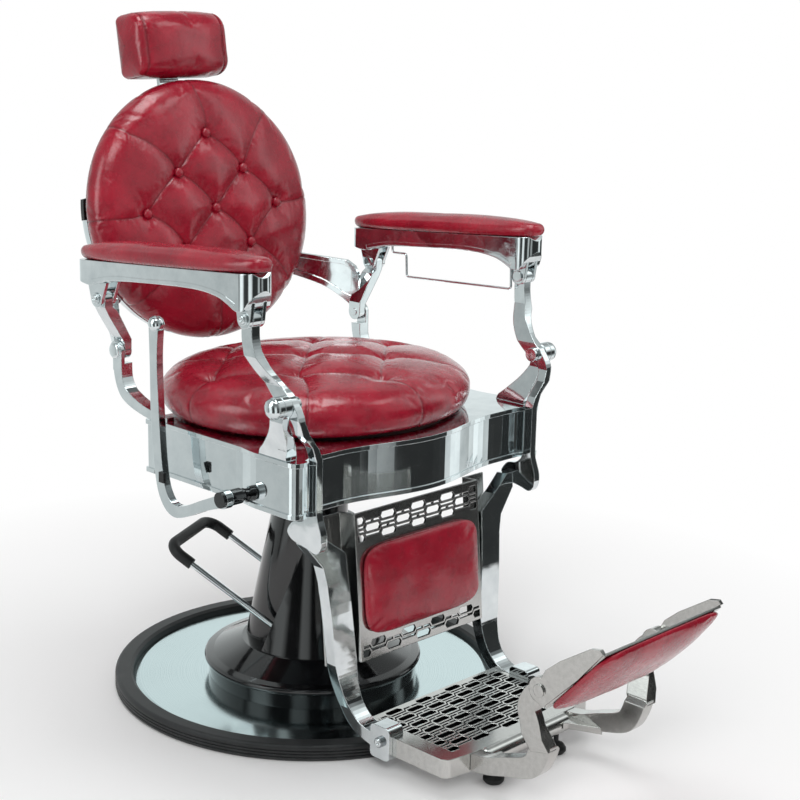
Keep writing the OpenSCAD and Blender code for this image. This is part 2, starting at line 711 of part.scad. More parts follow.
module back_buttons() {
  color(leather) back_frame() for (p = back_points)
    translate([p[0], p[1], button_z(p)]) rotate_extrude($fn = 24)
      polygon([[0, 0], [5, 0], [button_r, 2.5], [button_r, 4], [6, 6.5], [3, 7.5], [0, 7.8]]);
}
module wing() {
  root = [shell_r - 11, back_y + 27];
  front = [hinge_half + 4, hinge_back + 2];
  run = front - root;
  low_z = hinge_z;
  color(chrome) {
    difference() {
      union() {
        // Upright arm from the hinge to the armrest's rear pin
        intersection() {
          side_view(hinge_half - 20, 80) slab2([hinge_back, hinge_z], arm_rear, tongue_r);
          front_view(hinge_back - 60, 120) polygon([
            [upright_in, low_z - 30], [upright_in, low_z + 18], [arm_half - 16, arm_rear[1] - 20],
            [arm_half - slot_w / 2 + gap, arm_rear[1] - 14], [arm_half - slot_w / 2 + gap, arm_rear[1] + 20],
            [arm_half + slot_w / 2 - gap, arm_rear[1] + 20], [arm_half + slot_w / 2 - gap, arm_rear[1] - 14],
            [arm_half, arm_rear[1] - 28], [ear_in - gap, low_z + 14], [ear_in - gap, low_z - 30]]);
        }
        // Web from the shell's side to the arm
        translate([root[0], root[1], 0]) rotate([0, 0, atan2(run[1], run[0])]) difference() {
          front_view(-5, 10) polygon(web_line(norm(run)));
          front_view(-8, 6) web_recess(norm(run));
        }
      }
      xcyl([hinge_back, hinge_z], upright_in - 5, 60, pin_r + fit);
      xcyl([hinge_back, hinge_z], ear_in - gap - 1, 20, knuckle_r + 1);
      xcyl(arm_rear, arm_half - 30, 60, pin_r + fit);
    }
    // Curved root around the shell
    back_frame() rotate([0, 0, -40]) translate([0, 0, board_z - shell_d + back_board_t + 3])
        rotate_extrude(angle = 22, $fn = 96)
      translate([shell_r + fit, 0]) square([15, shell_d - 6]);
  }
}
function web_line(run) = concat(
  [[-6, arm_rear[1] + 8], [10, arm_rear[1] + 10], [run - 26, arm_rear[1] + 2], [run - 10, arm_rear[1] - 8],
      [run - 2, arm_rear[1] - 24]],
  [[run, hinge_z + 14]],
  curve([[run - 10, hinge_z + 4], [run - 34, hinge_z + 22], [run - 74, hinge_z + 42], [10, hinge_z + 60]], 4),
  [[-6, hinge_z + 62]]);
module web_recess(run) {
  polygon(concat([[10, arm_rear[1] + 2], [run - 30, arm_rear[1] - 6], [run - 16, arm_rear[1] - 16],
      [run - 16, hinge_z + 26]],
    curve([[run - 34, hinge_z + 33], [run - 74, hinge_z + 53], [10, hinge_z + 70]], 4)));
}
module wing_left() { wing(); }
module wing_right() { mirror([1, 0, 0]) wing(); }

// ---- Headrest ---------------------------------------------------------------

head_y = back_ry + head_gap + head_h / 2;
head_z0 = -58;
post_z = board_z - 9 - post_t;
guide_y = back_ry - 66;
module post_guide() {
  color(black) back_frame() difference() {
    translate([-post_w / 2 - 12, guide_y, board_z - 0.1 - 24]) cube([post_w + 24, 46, 24]);
    translate([-post_w / 2 - 0.3, guide_y - 1, post_z - 0.3]) cube([post_w + 0.6, 48, post_t + 0.6]);
    translate([0, guide_y + 23, post_z - 20]) cylinder(r = 4 + fit, h = 20);
  }
}
module clamp_knob() {
  color(black) back_frame() translate([0, guide_y + 23, 0]) {
    translate([0, 0, post_z - 17]) cylinder(r = 4, h = 16);
    translate([0, 0, post_z - 31]) {
      cylinder(r = 14, h = 14);
      for (k = [0:5]) rotate(60 * k) translate([13, 0, 0]) cylinder(r = 4.5, h = 14, $fn = 24);
    }
  }
}
module headrest_post() {
  low = 78;
  color(chrome) back_frame() translate([-post_w / 2, low, post_z]) cube([post_w, head_y - low + 10, post_t]);
}
module headrest() {
  color(leather) back_frame() difference() {
    translate([0, head_y, head_z0 - 6]) cushion(head_w / 2, head_h / 2, puffed(0, head_t - 8, 20), 8,
        round = 5, turns = 48);
    translate([-post_w / 2 - 0.3, head_y - head_h, post_z - 0.3])
        cube([post_w + 0.6, head_h + 10.3, post_t + 0.6]);
  }
}

// ---- Armrests ---------------------------------------------------------------

arm_y0 = arm_front[0] - 29;
arm_y1 = arm_rear[0] + 34;
arm_lift = 58;
arm_rise = 0.0709;
function arm_top(y) = arm_rear[1] + arm_lift + (arm_y1 - y) * arm_rise;
ear_out = slot_w / 2 + ear_t;
module armrest() {
  rear_z = arm_rear[1];
  front_z = arm_front[1];
  color(chrome) difference() {
    union() {
      intersection() {
        side_view(arm_half - arm_w / 2 - 5, arm_w + 10) polygon(concat(
          [[arm_y1, arm_top(arm_y1)], [arm_y0 + 6, arm_top(arm_y0 + 6)], [arm_y0, arm_top(arm_y0) - 7],
              [arm_y0, front_z + 42]],
          curve([[arm_y0 + 5, front_z + 34], [arm_y0 + 12, front_z + 24],
              [arm_front[0] - 10, front_z + 14], [arm_front[0] + 4, front_z + 12],
            [arm_front[0] + 22, front_z + 20], [arm_front[0] + 48, front_z + 28],
                [arm_front[0] + 100, front_z + 31],
            [arm_rear[0] - 140, rear_z + 44], [arm_rear[0] - 60, rear_z + 36],
                [arm_rear[0] - 22, rear_z + 28],
            [arm_rear[0], rear_z + 22], [arm_y1 - 4, rear_z + 26]], 3)));
        translate([arm_half, 0, front_z - 80]) linear_extrude(200) {
          translate([0, arm_y0 + arm_w / 2]) circle(arm_w / 2);
          translate([0, (arm_y0 + arm_w / 2 + arm_y1) / 2 - 8])
              square([arm_w, arm_y1 - arm_y0 - arm_w / 2 - 16], center = true);
          translate([0, arm_y1 - 24]) round_rect(arm_w, 48, 14);
        }
      }
      for (s = [-1, 1]) side_view(s > 0 ? arm_half + slot_w / 2 : arm_half - ear_out, ear_t) {
        clevis_ear(arm_rear, 27, 22, -26);
        clevis_ear(arm_front, 26, 18, -18);
      }
      // Lip along the bottom of the side
      for (s = [-1, 1]) side_view(arm_half + s * (arm_w / 2 - 2) - 2.5, 5)
        strip([[arm_front[0] + 6, front_z + 20, 6], [arm_front[0] + 44, front_z + 32, 6],
            [arm_front[0] + 110, front_z + 35, 6],
          [arm_rear[0] - 140, rear_z + 47, 6], [arm_rear[0] - 62, rear_z + 41, 6],
              [arm_rear[0] - 6, rear_z + 29, 6]]);
    }
    // Hollow underside between the two clevises
    side_view(arm_half - arm_w / 2 + 7, arm_w - 14) polygon([[arm_front[0] + 26, front_z - 10],
        [arm_front[0] + 36, front_z + 42],
      [arm_rear[0] - 50, rear_z + 48], [arm_rear[0] - 38, rear_z - 10]]);
    side_view(arm_half - slot_w / 2, slot_w) {
      translate([arm_rear[0] - 32, rear_z - 20]) square([80, 38]);
      translate([arm_front[0] - 28, front_z - 24]) square([56, 42]);
    }
    xcyl(arm_rear, arm_half - 40, 80, pin_r + fit);
    xcyl(arm_front, arm_half - 40, 80, pin_r + 1);
  }
}
// Ear below the casting: a round eye that widens upwards
module clevis_ear(at, up, rear, front) {
  translate(at) circle(14);
  translate(at) polygon([[-14, 0], [14, 0], [rear, up], [front, up]]);
}
module armrest_left() { armrest(); }
module armrest_right() { mirror([1, 0, 0]) armrest(); }
pad_half = (arm_y1 - arm_y0) / 2 + 7;
pad_y = (arm_y0 + arm_y1) / 2 + 1;
module arm_pad() {
  color(leather) translate([arm_half, pad_y, arm_top(pad_y) + 0.3]) rotate([-atan(arm_rise), 0, 0])
    cushion(pad_w / 2, pad_half, puffed(0, pad_t - 10, 9, 5), 12, round = 3.6, turns = 48, tops = [0.8,
        0.55, 0.3]);
}
module arm_pad_left() { arm_pad(); }
module arm_pad_right() { mirror([1, 0, 0]) arm_pad(); }
module rear_arm_pins() {
  color(chrome) both_sides() arm_pin(arm_rear);
}
module front_arm_pins() {
  color(chrome) both_sides() arm_pin(arm_front);
}
module arm_pin(at) {
  xcyl(at, arm_half - ear_out - 0.5, 2 * ear_out + 1, pin_r);
  xcyl(at, arm_half + ear_out + gap, 2.5, pin_r + 3);
  xcyl(at, arm_half - ear_out - gap - 2.5, 2.5, pin_r + 3);
}
// Rod in a side view with square bends: legs along y and z between corners
module wire_bend(at, turn, r) {
  translate([0, at[0], at[1]]) rotate([90, 0, 90]) rotate([0, 0, turn]) translate([-wire_r, -wire_r, 0])
    rotate_extrude(angle = 90, $fn = 32) translate([wire_r, 0]) circle(r, $fn = 24);
}
module wire_leg(a, b, r) {
  d = b - a;
  run = norm(d) - 2 * wire_r;
  translate([0, a[0] + d[0] / norm(d) * wire_r, a[1] + d[1] / norm(d) * wire_r])
    rotate([d[1] == 0 ? (d[0] > 0 ? -90 : 90) : (d[1] > 0 ? 0 : 180), 0, 0])
        cylinder(r = r, h = run, $fn = 24);
}
wire_r = 5;
module towel_wire() {
  x = arm_half - arm_w / 2 + 10;
  drop = 43;
  run = 240;
  r = wire_d / 2;
  color(chrome) translate([x, arm_rear[0] - 98, arm_rear[1] - 14]) rotate([-2.7, 0, 0]) {
    wire_leg([34, 40], [34, 60], r);
    wire_bend([34, 40], -90, r);
    wire_leg([34, 40], [0, 40], r);
    wire_bend([0, 40], 90, r);
    wire_leg([0, 40], [0, 0], r);
    wire_bend([0, 0], -90, r);
    wire_leg([0, 0], [-run, 0], r);
    wire_bend([-run, 0], 180, r);
    wire_leg([-run, 0], [-run, drop], r);
  }
}

// ---- Leg rest ---------------------------------------------------------------

module rocker_bar() {
  bar_out = bar_half + bar_t / 2;
  bar_in = bar_half - bar_t / 2;
  t = frame_top;
  y = -rocker_fwd;
  color(chrome) difference() {
    intersection() {
      union() {
        side_view(bar_in - 10, 90) strip([[arm_front[0] + 0.5, arm_front[1], 22],
            [y + 55, rocker_z + 95, 22], [y + 51, rocker_z + 70, 24], [y + 42, rocker_z + 45, 25],
          [y + 24, rocker_z + 23, 26], [y - 2, rocker_z, 25], [y - 18, rocker_z - 17, 18],
              [y - 22, t + 44, 16], [y - 21, t + 24, 16],
          [y - 21, t - 20, 16], [y - 21, t - 45, 16], [y - 21, seat_low + 13, 16]]);
        xcyl(arm_front, bar_in - 10, 90, 14);
        xcyl(rocker_at, bar_in - 10, 90, 15);
        side_view(bar_in - 10, 90) polygon(curve([[y - 29, seat_low + 22], [y - 30, seat_low + 4],
            [y - 39, seat_low - 22], [y - 38, seat_low - 42], [y - 28, seat_low - 52],
          [y - 9, seat_low - 48], [y + 18, seat_low - 43], [y + 30, seat_low - 36],
              [y + 32, seat_low - 27], [y + 20, seat_low - 13],
          [y + 2, seat_low - 9], [y - 10, seat_low + 3], [y - 13, seat_low + 22]], 4));
      }
      front_view(-400, 400) polygon([
        [bar_in, seat_low - 60], [bar_in, t + 4], [bar_in + 7, t + 20], [rocker_in - 7, t + 44],
            [rocker_in, rocker_z - 22], [rocker_in, rocker_z + 18],
        [arm_half - slot_w / 2, rocker_z + 74], [arm_half - slot_w / 2 + gap, arm_front[1] - 30],
            [arm_half - slot_w / 2 + gap, arm_front[1] + 20],
        [arm_half + slot_w / 2 - gap, arm_front[1] + 20], [arm_half + slot_w / 2 - gap, arm_front[1] - 30],
            [arm_half + 6, rocker_z + 66],
        [rocker_in + bar_t, rocker_z + 26], [rocker_in + bar_t, rocker_z - 18],
        [rocker_in + bar_t - 6, t + 44], [bar_out + 8, t + 24], [bar_out, t + 2], [bar_out, seat_low - 60]]);
    }
    xcyl(rocker_at, rocker_in - 20, 60, pin_r + fit);
    xcyl(arm_front, arm_half - 40, 80, pin_r + fit);
  }
}
module rocker_bar_left() { rocker_bar(); }
module rocker_bar_right() { mirror([1, 0, 0]) rocker_bar(); }
lug_out = foot_half + 8;
foot_rear = -foot_front + 114;
bolt_at = [foot_rear + 18, foot_h - 10];
leg_lean = 5.2;
panel_front = -257;
module leg_bar() {
  low = panel_z;
  in_x = bar_half - bar_t / 2;
  lug_in = foot_half - 22 + gap;
  y1 = panel_front + 29;
  color(chrome) difference() {
    union() {
      intersection() {
        side_view(panel_half - 10, 130) {
          strip([[y1 + 8, seat_low - 28, 20], [y1 + 2, seat_low - 95, 21], [y1 - 6, low + 82, 21],
              [y1 - 12, low + 4, 20], [y1 - 18, low - 30, 20],
            [y1 - 31, low - 60, 19], [y1 - 55, foot_h - 2, 19], [foot_rear + 40, foot_h - 11, 22],
                [foot_rear + 16, foot_h - 11, 30]]);
        }
        front_view(-420, 300) polygon([
          [lug_in, 0], [lug_in, foot_h + 20], [panel_half + 3.5, low + 4],
              [panel_half + 13, seat_low - 120], [panel_half + 15, seat_low - 78],
          [in_x - 40, seat_low - 50], [in_x - 8, seat_low - 22], [in_x - 0.1, seat_low - 14],
              [in_x - 0.1, seat_low - 52],
          [panel_half + 62, seat_low - 92], [panel_half + 56, seat_low - 122], [panel_half + 47, low + 4],
              [lug_out, foot_h + 20], [lug_out, 0]]);
      }
      side_view(lug_in, lug_out - lug_in) translate([foot_rear + 20.3, foot_h - 12]) round_rect(40, 52, 8);
    }
    xcyl(bolt_at, foot_half - 60, 100, 4 + fit);
  }
}
module leg_bar_left() { leg_bar(); }
module leg_bar_right() { mirror([1, 0, 0]) leg_bar(); }
// Run of a slanted edge for each unit of its rise
slant = 0.6;
// Places a drawing on the leg panel: x across, y rearwards, z up the panel
module leg_frame() {
  translate([0, panel_front, panel_z]) rotate([-leg_lean, 0, 0]) children();
}
// Long six-sided opening
module slot_shape() {
  c = slot_h / 2;
  half = slot_l / 2;
  polygon([[-half, 0], [-half + slant * c, c], [half - slant * c, c], [half, 0], [half - slant * c, -c],
      [-half + slant * c, -c]]);
}
// Slot that steps down and up again between a row of openings and the next one
module step_slot(high, low) {
  run = slot_l + 1;
  fall = slant * (high - low) / 2;
  path = [[web / 2, high], [run / 2 - fall, high], [run / 2 + fall, low], [1.5 * run - fall, low],
      [1.5 * run + fall, high],
    [2 * run - web / 2, high]];
  polygon(concat([for (p = path) p - [0, step_w / 2]], [for (k = [5:-1:0]) path[k] + [0, step_w / 2]]));
}
// Mesh of staggered openings, cut off at a width, as many rows as a height takes
module slot_rows(w, h) {
  run = slot_l + 1;
  pitch = slot_h / 2 + 1.5 * web + step_w;
  high = slot_h / 2 + web + step_w / 2;
  rows = floor((h - slot_h) / pitch);
  intersection() {
    square([w, 2 * h], center = true);
    for (j = [0:rows]) translate([(j % 2) * run, (j - rows / 2) * pitch]) {
      for (i = [-3:2]) translate([2 * i * run, 0]) {
        slot_shape();
        if (j < rows) step_slot(high, pitch - high);
      }
    }
  }
}
calf_low = 35;
module leg_panel() {
  wall = 3.5;
  back = 29;
  color(satin) leg_frame() difference() {
    linear_extrude(panel_h) polygon(mirrored([[panel_half + 46, back + wall], [panel_half + 46, back],
        [panel_half + 3, back], [panel_half, 0]]));
    translate([0, 0, -1]) linear_extrude(panel_h + 2)
        polygon(mirrored([[panel_half - 0.5, back + wall + 1], [panel_half - 3.5, wall]]));
    translate([0, 20, calf_low + calf_h + (panel_h - calf_low - calf_h) / 2]) rotate([90, 0, 0])
        linear_extrude(30)
      slot_rows(2 * panel_half - 10, panel_h - calf_low - calf_h - 6);
    translate([0, 20, calf_low / 2]) rotate([90, 0, 0]) linear_extrude(30)
        slot_rows(2 * panel_half - 10, calf_low - 6);
  }
}
module calf_pad() {
  color(leather) leg_frame() translate([0, -0.3, calf_low + calf_h / 2]) rotate([90, 0, 0])
    cushion(panel_half - 11, calf_h / 2, puffed(0, calf_t - 3, 4, 4), 5, round = 6, turns = 48,
        tops = [0.85, 0.6, 0.3]);
}
module footplate() {
  grid_half = foot_half - 22;
  low = foot_h - foot_t;
  rail_r = foot_t / 2;
  color(satin) difference() {
    union() {
      translate([0, 0, low]) linear_extrude(foot_t) polygon(mirrored(concat(
        [[grid_half, foot_y0], [grid_half, foot_rear]], [[foot_half, foot_rear]],
        [for (a = [0:-18:-72]) [foot_half - 14 + 14 * cos(a), -foot_front + 20 + 14 * sin(a)]],
        [[foot_half - 50, -foot_front]])));
      for (s = [-1, 1]) translate([s * 88, -foot_front - 2, low + rail_r]) sphere(r = rail_r);
      translate([-88, -foot_front - 2, low + rail_r]) rotate([0, 90, 0]) cylinder(r = rail_r, h = 176);
    }
    translate([0, 0, low - 1]) linear_extrude(foot_t - 6) polygon(mirrored([[grid_half - 9, foot_y0 - 8],
        [grid_half - 9, 26 - foot_front]]));
    translate([0, (foot_y0 - foot_front + 18) / 2, low]) linear_extrude(foot_t + 1)
      slot_rows(2 * grid_half - 16, foot_front + foot_y0 - 26);
    for (s = [0, 1]) mirror([s, 0, 0]) xcyl(bolt_at, grid_half - 16, 40, 4 + fit);
    for (s = [-1, 1]) translate([s * 72, -foot_front - 4, low - 1]) cylinder(r = 4 + fit, h = 16);
  }
}
module foot_bolts() {
  color(steel) both_sides() {
    xcyl(bolt_at, foot_half - 37, lug_out - foot_half + 37.1, 4);
    xcyl(bolt_at, lug_out + 0.05, 5, 8);
  }
}
module rubber_feet() {
  low = foot_h - foot_t;
  color(black) for (s = [-1, 1]) translate([s * 72, -foot_front - 4, 0]) rotate_extrude($fn = 32) polygon([
    [0, foot_gap], [13, foot_gap], [16, foot_gap + 4], [16, foot_gap + 8], [12, foot_gap + 14],
        [6, foot_gap + 17], [4, foot_gap + 19], [4, low + 10], [0, low + 10]]);
}

// ---- Flip-up footrest -------------------------------------------------------

flip_at = [-flip_fwd, foot_h + flip_up];
module footrest_arm() {
  y = -flip_fwd;
  z = foot_h;
  hook_in = flip_half - flip_arm_t + 1;
  color(satin) difference() {
    union() {
      // Lower sweep, in a plane near the footplate's corner
      intersection() {
        side_view(80, 60) strip([[-foot_front + 1, z - 14, 26], [-foot_front - 30, z - 9, 26],
            [-foot_front - 60, z + 1, 28], [y + 30, z + 17, 32],
          [y + 15, z + 39, 34], [y + 9, z + 62, 36]], 6);
        front_view(y - 60, 260) polygon([[flip_half - 34, z - 40], [flip_half - 34, z + 52],
            [hook_in, z + 74], [flip_half - 12, z + 74], [flip_half - 12, z - 40]]);
      }
      // Upper hook up to the pivot's eye
      intersection() {
        side_view(hook_in - 14, flip_arm_t + 14) {
          strip([[y + 9, z + 48, 36], [y + 14, z + 66, 36], [y + 20, z + 90, 35], [y + 27, z + 113, 32],
              [y + 17, z + 136, 28], [y + 2, z + flip_up - 2, 30]], 6);
          translate(flip_at) circle(19);
        }
        front_view(y - 60, 260) polygon([[hook_in - 14, z + 42], [flip_half - 12, z + 42],
            [flip_half + 1, z + 72], [flip_half + 1, z + 200],
          [hook_in, z + 200], [hook_in, z + 92], [hook_in - 14, z + 62]]);
      }
      // Flat web inside the root
      translate([0, 0, z - 16]) linear_extrude(10) polygon([[flip_half - 33, -foot_front - 1],
          [flip_half - 33, -foot_front - 70],
        [flip_half - 55, -foot_front - 22], [flip_half - 62, -foot_front - 18],
            [flip_half - 40, -foot_front - 1]]);
    }
    xcyl(flip_at, hook_in - 20, 60, 6 + fit);
    translate([0, -foot_front, 0]) cube([200, 60, foot_h + 40]);
    translate([0, -foot_front - 2, foot_h - foot_t / 2]) rotate([0, 90, 0])
        cylinder(r = foot_t / 2 + 0.05, h = 88);
    translate([88, -foot_front - 2, foot_h - foot_t / 2]) sphere(r = foot_t / 2 + 0.05);
  }
}
module footrest_arm_left() { footrest_arm(); }
module footrest_arm_right() { mirror([1, 0, 0]) footrest_arm(); }
// Footrest frame: x across, y away from the pivot along the rest
flip_tilt = 44;
module flip_frame() {
  translate([0, flip_at[0], flip_at[1]]) rotate([180 - flip_tilt, 0, 0]) children();
}
flip_w = flip_half + 1.5;
flip_low = 23;
flip_drop = 4;
module flip_footrest() {
  pan_y = -14;
  color(satin) flip_frame() {
    for (s = [0, 1]) mirror([s, 0, 0]) side_view(flip_w, 6) {
      circle(19);
      polygon(concat([[pan_y, flip_low - 2], [-14, 12], [8, -10], [29, -17], [60, -15]],
        [[flip_len, -4], [flip_len + 14, 5], [flip_len + 14, flip_low - 11], [70, flip_low - 4]]));
    }
    rotate([-flip_drop, 0, 0]) translate([-flip_w - 1, pan_y + 2, flip_low - 3])
        cube([2 * flip_w + 2, flip_len + 22, 4]);
    for (s = [0, 1]) mirror([s, 0, 0]) {
      xcyl([0, 0], flip_half - flip_arm_t, flip_arm_t + 8, 6);
      xcyl([0, 0], flip_w + 6, 3, 9);
    }
  }
}
module flip_pad() {
  half = flip_len / 2 + 13;
  color(leather) flip_frame() rotate([-flip_drop, 0, 0]) translate([0, half - 14, flip_low + 1.3])
    cushion(flip_w + 5, half, [[5, 0], [1.5, 2], [0, 4.5], [1.5, 7]],
        14, round = 7, turns = 48, tops = [0.9, 0.75, 0.5, 0.25]);
}

base_ring();
base_plate();
base_disc();
round_cover();
tower_cover();
skirt_cover();
cylinder_tube();
cylinder_head();
pump_block();
lever_stubs();
pump_plunger();
pump_lever();
lever_sleeve();
ram();
ram_piston();
swivel_plate();
seat_frame();
seat_board();
seat_cushion();
recline_lock();
rear_upright_left();
rear_upright_right();
hinge_pins();
rocker_bracket_left();
rocker_bracket_right();
rocker_pins();
recline_lever();
lever_hub();
lever_tip();
back_cushion();
back_board();
back_shell();
back_trim();
back_buttons();
wing_left();
wing_right();
post_guide();
clamp_knob();
headrest_post();
headrest();
armrest_left();
armrest_right();
arm_pad_left();
arm_pad_right();
rear_arm_pins();
front_arm_pins();
towel_wire();
rocker_bar_left();
rocker_bar_right();
leg_bar_left();
leg_bar_right();
leg_panel();
calf_pad();
footplate();
foot_bolts();
rubber_feet();
footrest_arm_left();
footrest_arm_right();
flip_footrest();
flip_pad();
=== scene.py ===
import bpy
import bmesh
import math
import numpy as np
from mathutils import Matrix, Vector


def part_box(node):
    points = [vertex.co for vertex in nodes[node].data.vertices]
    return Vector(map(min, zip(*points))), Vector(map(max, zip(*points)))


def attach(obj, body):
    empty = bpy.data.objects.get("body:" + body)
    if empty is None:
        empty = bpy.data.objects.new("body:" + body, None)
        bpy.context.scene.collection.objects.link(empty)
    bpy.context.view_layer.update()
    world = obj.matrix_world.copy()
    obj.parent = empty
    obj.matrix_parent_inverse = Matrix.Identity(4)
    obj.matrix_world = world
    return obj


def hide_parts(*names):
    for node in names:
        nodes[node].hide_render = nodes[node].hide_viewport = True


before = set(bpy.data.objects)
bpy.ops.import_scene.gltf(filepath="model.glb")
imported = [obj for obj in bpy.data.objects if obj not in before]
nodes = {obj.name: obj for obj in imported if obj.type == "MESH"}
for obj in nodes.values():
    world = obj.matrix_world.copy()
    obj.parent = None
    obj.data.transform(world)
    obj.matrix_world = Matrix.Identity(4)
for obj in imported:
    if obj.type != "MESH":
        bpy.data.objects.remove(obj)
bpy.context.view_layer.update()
mm = 0.001
unlifted = -1000.0  # stands for the height of a crown's points until it is worked out
print("frame loaded:", len(nodes), "nodes")


# Colours and node trees

def colour(hexValue):
    parts = [int(hexValue[i:i + 2], 16) / 255 for i in (1, 3, 5)]
    linear = [c / 12.92 if c <= 0.04045 else ((c + 0.055) / 1.055) ** 2.4 for c in parts]
    return (*linear, 1.0)


def live(source):  # a node stands for its first output in use
    if isinstance(source, bpy.types.NodeSocket):
        return source
    return next(socket for socket in source.outputs if socket.enabled)


def addNode(tree, kind, settings=None, links=None):
    node = tree.nodes.new(kind)
    for key, value in (settings or {}).items():
        if isinstance(key, str) and hasattr(node, key):
            setattr(node, key, value)
        else:
            node.inputs[key].default_value = value
    for key, source in (links or {}).items():
        tree.links.new(live(source), node.inputs[key])
    return node


def newMaterial(name):
    material = bpy.data.materials.new(name)
    material.use_nodes = True
    tree = material.node_tree
    tree.nodes.clear()
    shader = addNode(tree, "ShaderNodeBsdfPrincipled")
    addNode(tree, "ShaderNodeOutputMaterial", links={"Surface": shader.outputs[0]})
    place = addNode(tree, "ShaderNodeTexCoord")
    return material, tree, shader, place.outputs["Object"]


def joinUp(tree, shader, base, rough, surface):
    for name, source in (("Base Color", base), ("Roughness", rough), ("Normal", surface)):
        tree.links.new(live(source), shader.inputs[name])


# Coated upholstery leather, dyed and waxed: crimson with painted shade darkening it along the folds and
# seams, pebbled grain, gloss top coat
def upholstery(name, dark, middle, light):
    material, tree, shader, place = newMaterial(name)
    seam = addNode(tree, "ShaderNodeAttribute", {"attribute_name": "seam"})
    patches = addNode(tree, "ShaderNodeTexNoise", {"Scale": 1 / 0.055, "Detail": 4, "Roughness": 0.62},
                      {"Vector": place})
    marks = addNode(tree, "ShaderNodeTexNoise", {"Scale": 1 / 0.016, "Detail": 4, "Roughness": 0.6},
                    {"Vector": place})
    pebbles = addNode(tree, "ShaderNodeTexVoronoi", {"feature": "DISTANCE_TO_EDGE", "Scale": 1 / 0.002},
                      {"Vector": place})
    crackle = addNode(tree, "ShaderNodeTexVoronoi", {"feature": "DISTANCE_TO_EDGE", "Scale": 1 / 0.010},
                      {"Vector": place})
    pale = addNode(tree, "ShaderNodeMapRange", {"From Min": 0.34, "From Max": 0.7}, {"Value": patches})
    worn = addNode(tree, "ShaderNodeMapRange", {"From Min": 0.5, "From Max": 0.8, "To Max": 0.28},
                   {"Value": marks})
    # painted shade: darkens the leather within a few millimetres of the fold creases and seam grooves
    sewn = addNode(tree, "ShaderNodeMapRange",
                   {"From Min": 0.4, "From Max": 3.6, "To Min": 0.45, "To Max": 0.0},
                   {"Value": seam.outputs["Fac"]})
    base = addNode(tree, "ShaderNodeMix", {"data_type": "RGBA", 6: colour(middle), 7: colour(light)},
                   {0: pale})
    # random wear marks darken the colour, then the painted crease shade does
    for share in (worn, sewn):
        base = addNode(tree, "ShaderNodeMix", {"data_type": "RGBA", 7: colour(dark)}, {0: share, 6: base})
    gloss = addNode(tree, "ShaderNodeMapRange",
                    {"From Min": 0.3, "From Max": 0.7, "To Min": 0.2, "To Max": 0.31},
                    {"Value": marks})
    cracks = addNode(tree, "ShaderNodeMapRange", {"From Max": 0.07}, {"Value": crackle})
    grain = addNode(tree, "ShaderNodeMapRange", {"From Max": 0.3}, {"Value": pebbles})
    surface = addNode(tree, "ShaderNodeBump", {"Strength": 0.32, "Distance": 0.006}, {"Height": patches})
    for height, strength, depth in ((marks, 0.28, 0.0016), (cracks, 0.16, 0.0005), (grain, 0.14, 0.0003)):
        surface = addNode(tree, "ShaderNodeBump", {"Strength": strength, "Distance": depth},
                          {"Height": height, "Normal": surface})
    joinUp(tree, shader, base, gloss, surface)
    shader.inputs["Specular IOR Level"].default_value = 0.5
    shader.inputs["Coat Weight"].default_value = 0.4
    shader.inputs["Coat Roughness"].default_value = 0.11
    return material


# Chrome plate on polished castings and strip: cold white mirror, faint hand-polish waves, fine wipe marks
def chromePlate(name, tint, rough, waves, edge=0.0011):
    material, tree, shader, place = newMaterial(name)
    wave = addNode(tree, "ShaderNodeTexNoise", {"Scale": 1 / 0.045, "Detail": 1.5, "Roughness": 0.4},
                   {"Vector": place})
    marks = addNode(tree, "ShaderNodeTexNoise", {"Scale": 1 / 0.03, "Detail": 4, "Roughness": 0.55},
                    {"Vector": place})
    share = addNode(tree, "ShaderNodeMapRange", {"From Min": 0.3, "From Max": 0.7}, {"Value": marks})
    base = addNode(tree, "ShaderNodeMix", {"data_type": "RGBA", 6: colour(tint), 7: colour("#E9EEEF")},
                   {0: share})
    wiped = addNode(tree, "ShaderNodeMapRange",
                    {"From Min": 0.3, "From Max": 0.7, "To Min": rough, "To Max": rough + 0.03},
                    {"Value": marks})
    rounded = addNode(tree, "ShaderNodeBevel", {"samples": 6, "Radius": edge})
    surface = addNode(tree, "ShaderNodeBump", {"Strength": waves, "Distance": 0.004},
                      {"Height": wave, "Normal": rounded})
    shader.inputs["Metallic"].default_value = 1.0
    joinUp(tree, shader, base, wiped, surface)
    return material


